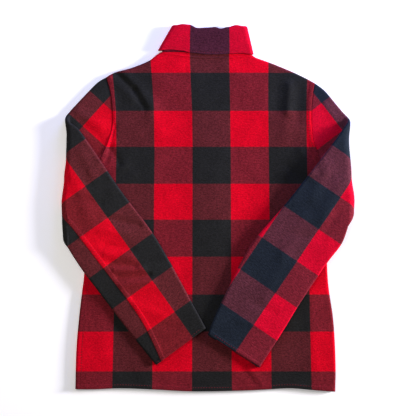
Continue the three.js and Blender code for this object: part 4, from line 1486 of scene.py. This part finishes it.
def button_sewing():
    lines, holes = [], []
    for y in BUTTON_PLACES:
        for sx in (-HOLE_RING, HOLE_RING):
            for x in (sx - 0.35, sx + 0.35):
                low, high = y - HOLE_RING - 1.6, y + 3.9
                lines.append(straight_line((x, low, BAR_HEIGHT), (x, high, BAR_HEIGHT)))
        for k in range(-11, 12):
            at = (y + k * 1.05, BUTTONHOLE_HEIGHT)
            holes.append(straight_line((-3.4, *at), (3.6, *at)))
    return lines, holes


bars, holes = button_sewing()
button_thread = sew("button_threads", bars)
buttonhole_thread = sew("buttonhole_stitches", holes)
THREADS += [button_thread, buttonhole_thread]
button_thread.data.materials.append(BLACK_THREAD)
buttonhole_thread.data.materials.append(RED_THREAD)


# %% [markdown]
# Buttons of this kind are turned from rods of polyester resin with a faint cloud in it, and
# then polished in a drum. That gives the eye a smooth, half glossy black with softer and
# sharper patches. The cloud is a noise of a few millimetres, on the object's own coordinates.

# %% Resin
RESIN, resin_shader = new_material("turned polyester resin, black")
resin_tree = RESIN.node_tree
resin_place = add_node(resin_tree, "ShaderNodeTexCoord").outputs["Object"]
cloud = add_node(
    resin_tree, "ShaderNodeTexNoise", {"Vector": resin_place, "Scale": 160.0, "Detail": 3.0}
).outputs[0]
streak = add_node(
    resin_tree, "ShaderNodeMapRange", {0: cloud, 1: 0.35, 2: 0.7}, interpolation_type="SMOOTHSTEP"
).outputs[0]
marble = add_node(
    resin_tree, "ShaderNodeMix", {0: streak, 6: linear("121214"), 7: linear("2a2a2e")},
    data_type="RGBA",
).outputs[2]
polish = add_node(
    resin_tree, "ShaderNodeMapRange", {0: cloud, 1: 0.3, 2: 0.7, 3: 0.28, 4: 0.42},
    interpolation_type="SMOOTHSTEP",
).outputs[0]
resin_tree.links.new(marble, resin_shader.inputs["Base Color"])
resin_tree.links.new(polish, resin_shader.inputs["Roughness"])
resin_shader.inputs["IOR"].default_value = 1.55
for button in buttons:
    button.data.materials.append(RESIN)
print("the resin has", len(resin_tree.nodes), "nodes")


# %% [markdown]
# Each sheet and each button stands in for its solid and moves with the jacket, which is one
# body. The thread has no solid and only rides along. A sheet is also listed with its flat
# cut: width and length in metres, and an area that was measured on the mesh beforehand.

# %% Tie the pieces to the jacket
FRONTS = ("front_left_cloth", "front_right_cloth")
SHEETS = [
    (back, "back", (0.54, 0.70), 0.312, "laid", "wool_body", FRONTS),
    (front_left, "front_left", (0.29, 0.68), 0.163, "laid", "wool_body", ()),
    (front_right, "front_right", (0.29, 0.68), 0.163, "laid", "wool_body", ("front_left_cloth",)),
    (sleeve_left, "sleeve_left", (0.36, 0.61), 0.163, "folded", "wool_sleeve", ("back_cloth",)),
    (sleeve_right, "sleeve_right", (0.34, 0.60), 0.146, "folded", "wool_sleeve", ("back_cloth",)),
    (collar, "collar", (0.46, 0.12), 0.043, "folded", "wool_collar", ("back_cloth", *FRONTS)),
]
for piece, node, flat, area, held, slot, below in SHEETS:
    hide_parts(node)
    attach(piece, "root")
    shown = sum(face.area for face in piece.data.polygons)
    print(piece.name, "is cut to", area, "and measures", round(shown, 3), "square metres")
for number, button in enumerate(buttons, 1):
    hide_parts(f"button_{number}")
    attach(button, "root")
for thread in THREADS:
    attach(thread, "root")


# %% [markdown]
# The jacket lies on a pale floor, as on a photographer's paper. The paper gives off a little
# light of its own, so that it stays white between the shadows. Half a millimetre of room
# below the buttons keeps the two surfaces apart.

# %% Floor
floor_mesh = bpy.data.meshes.new("floor")
bm = bmesh.new()
bmesh.ops.create_grid(bm, x_segments=1, y_segments=1, size=3.0)
bm.to_mesh(floor_mesh)
bm.free()
paper, paper_shader = new_material("matt paper")
paper_shader.inputs["Base Color"].default_value = linear("f2f2f2")
paper_shader.inputs["Roughness"].default_value = 0.9
paper_shader.inputs["Emission Color"].default_value = linear("ffffff")
paper_shader.inputs["Emission Strength"].default_value = 0.25
floor_mesh.materials.append(paper)
floor = bpy.data.objects.new("floor", floor_mesh)
floor.location = (0, 0, -0.5 * MM)
bpy.context.collection.objects.link(floor)
print("the floor is", round(floor.dimensions.x, 1), "m wide")


# %% [markdown]
# The photo was taken straight from above. The lens is worked out so that 832 mm at the
# jacket's own height fill the picture, which is the photo's scale of 2 mm a pixel.

# %% Camera
CAMERA_HEIGHT, CLOTH_HEIGHT, SEEN_WIDTH = 2.4, 0.012, 0.832
camera_data = bpy.data.cameras.new("camera")
camera = bpy.data.objects.new("camera", camera_data)
bpy.context.collection.objects.link(camera)
camera.location = (0, 0, CAMERA_HEIGHT)
camera_data.sensor_width = 36
camera_data.lens = 36 * (CAMERA_HEIGHT - CLOTH_HEIGHT) / SEEN_WIDTH
bpy.context.scene.camera = camera
print("the lens is", round(camera_data.lens, 1), "mm")


# %% [markdown]
# Soft daylight comes low from a window on the right, so creases show and the sleeves throw
# short shadows to the left. A weak, cool light from the collar's end stands for the sky, and
# a small lamp above lifts the middle. The lower gamma deepens the shadows, as a phone's
# camera does.

# %% Light
def area_light(name, place, aim, size, power, color):
    data = bpy.data.lights.new(name, "AREA")
    data.size, data.energy, data.color = size, power, color
    light = bpy.data.objects.new(name, data)
    bpy.context.collection.objects.link(light)
    light.location = place
    light.rotation_euler = (Vector(aim) - Vector(place)).to_track_quat("-Z", "Y").to_euler()


area_light("window", (3.3, 0.45, 0.95), (0, 0, 0), 0.8, 250, (0.96, 0.93, 1.02))
area_light("sky", (0.2, 0.95, 0.27), (0.05, 0.2, 0), 0.5, 8, (0.32, 0.42, 1.15))
area_light("lamp", (-0.35, 0.05, 0.95), (-0.1, 0.02, 0), 0.5, 4.2, (1.0, 0.95, 0.9))
world = bpy.data.worlds.new("room")
bpy.context.scene.world = world
world.use_nodes = True
world.node_tree.nodes["Background"].inputs["Color"].default_value = (1.0, 1.0, 1.0, 1)
world.node_tree.nodes["Background"].inputs["Strength"].default_value = 0.16
bpy.context.scene.view_settings.view_transform = "Standard"
bpy.context.scene.view_settings.gamma = 0.86
print(len(bpy.data.lights), "lights")
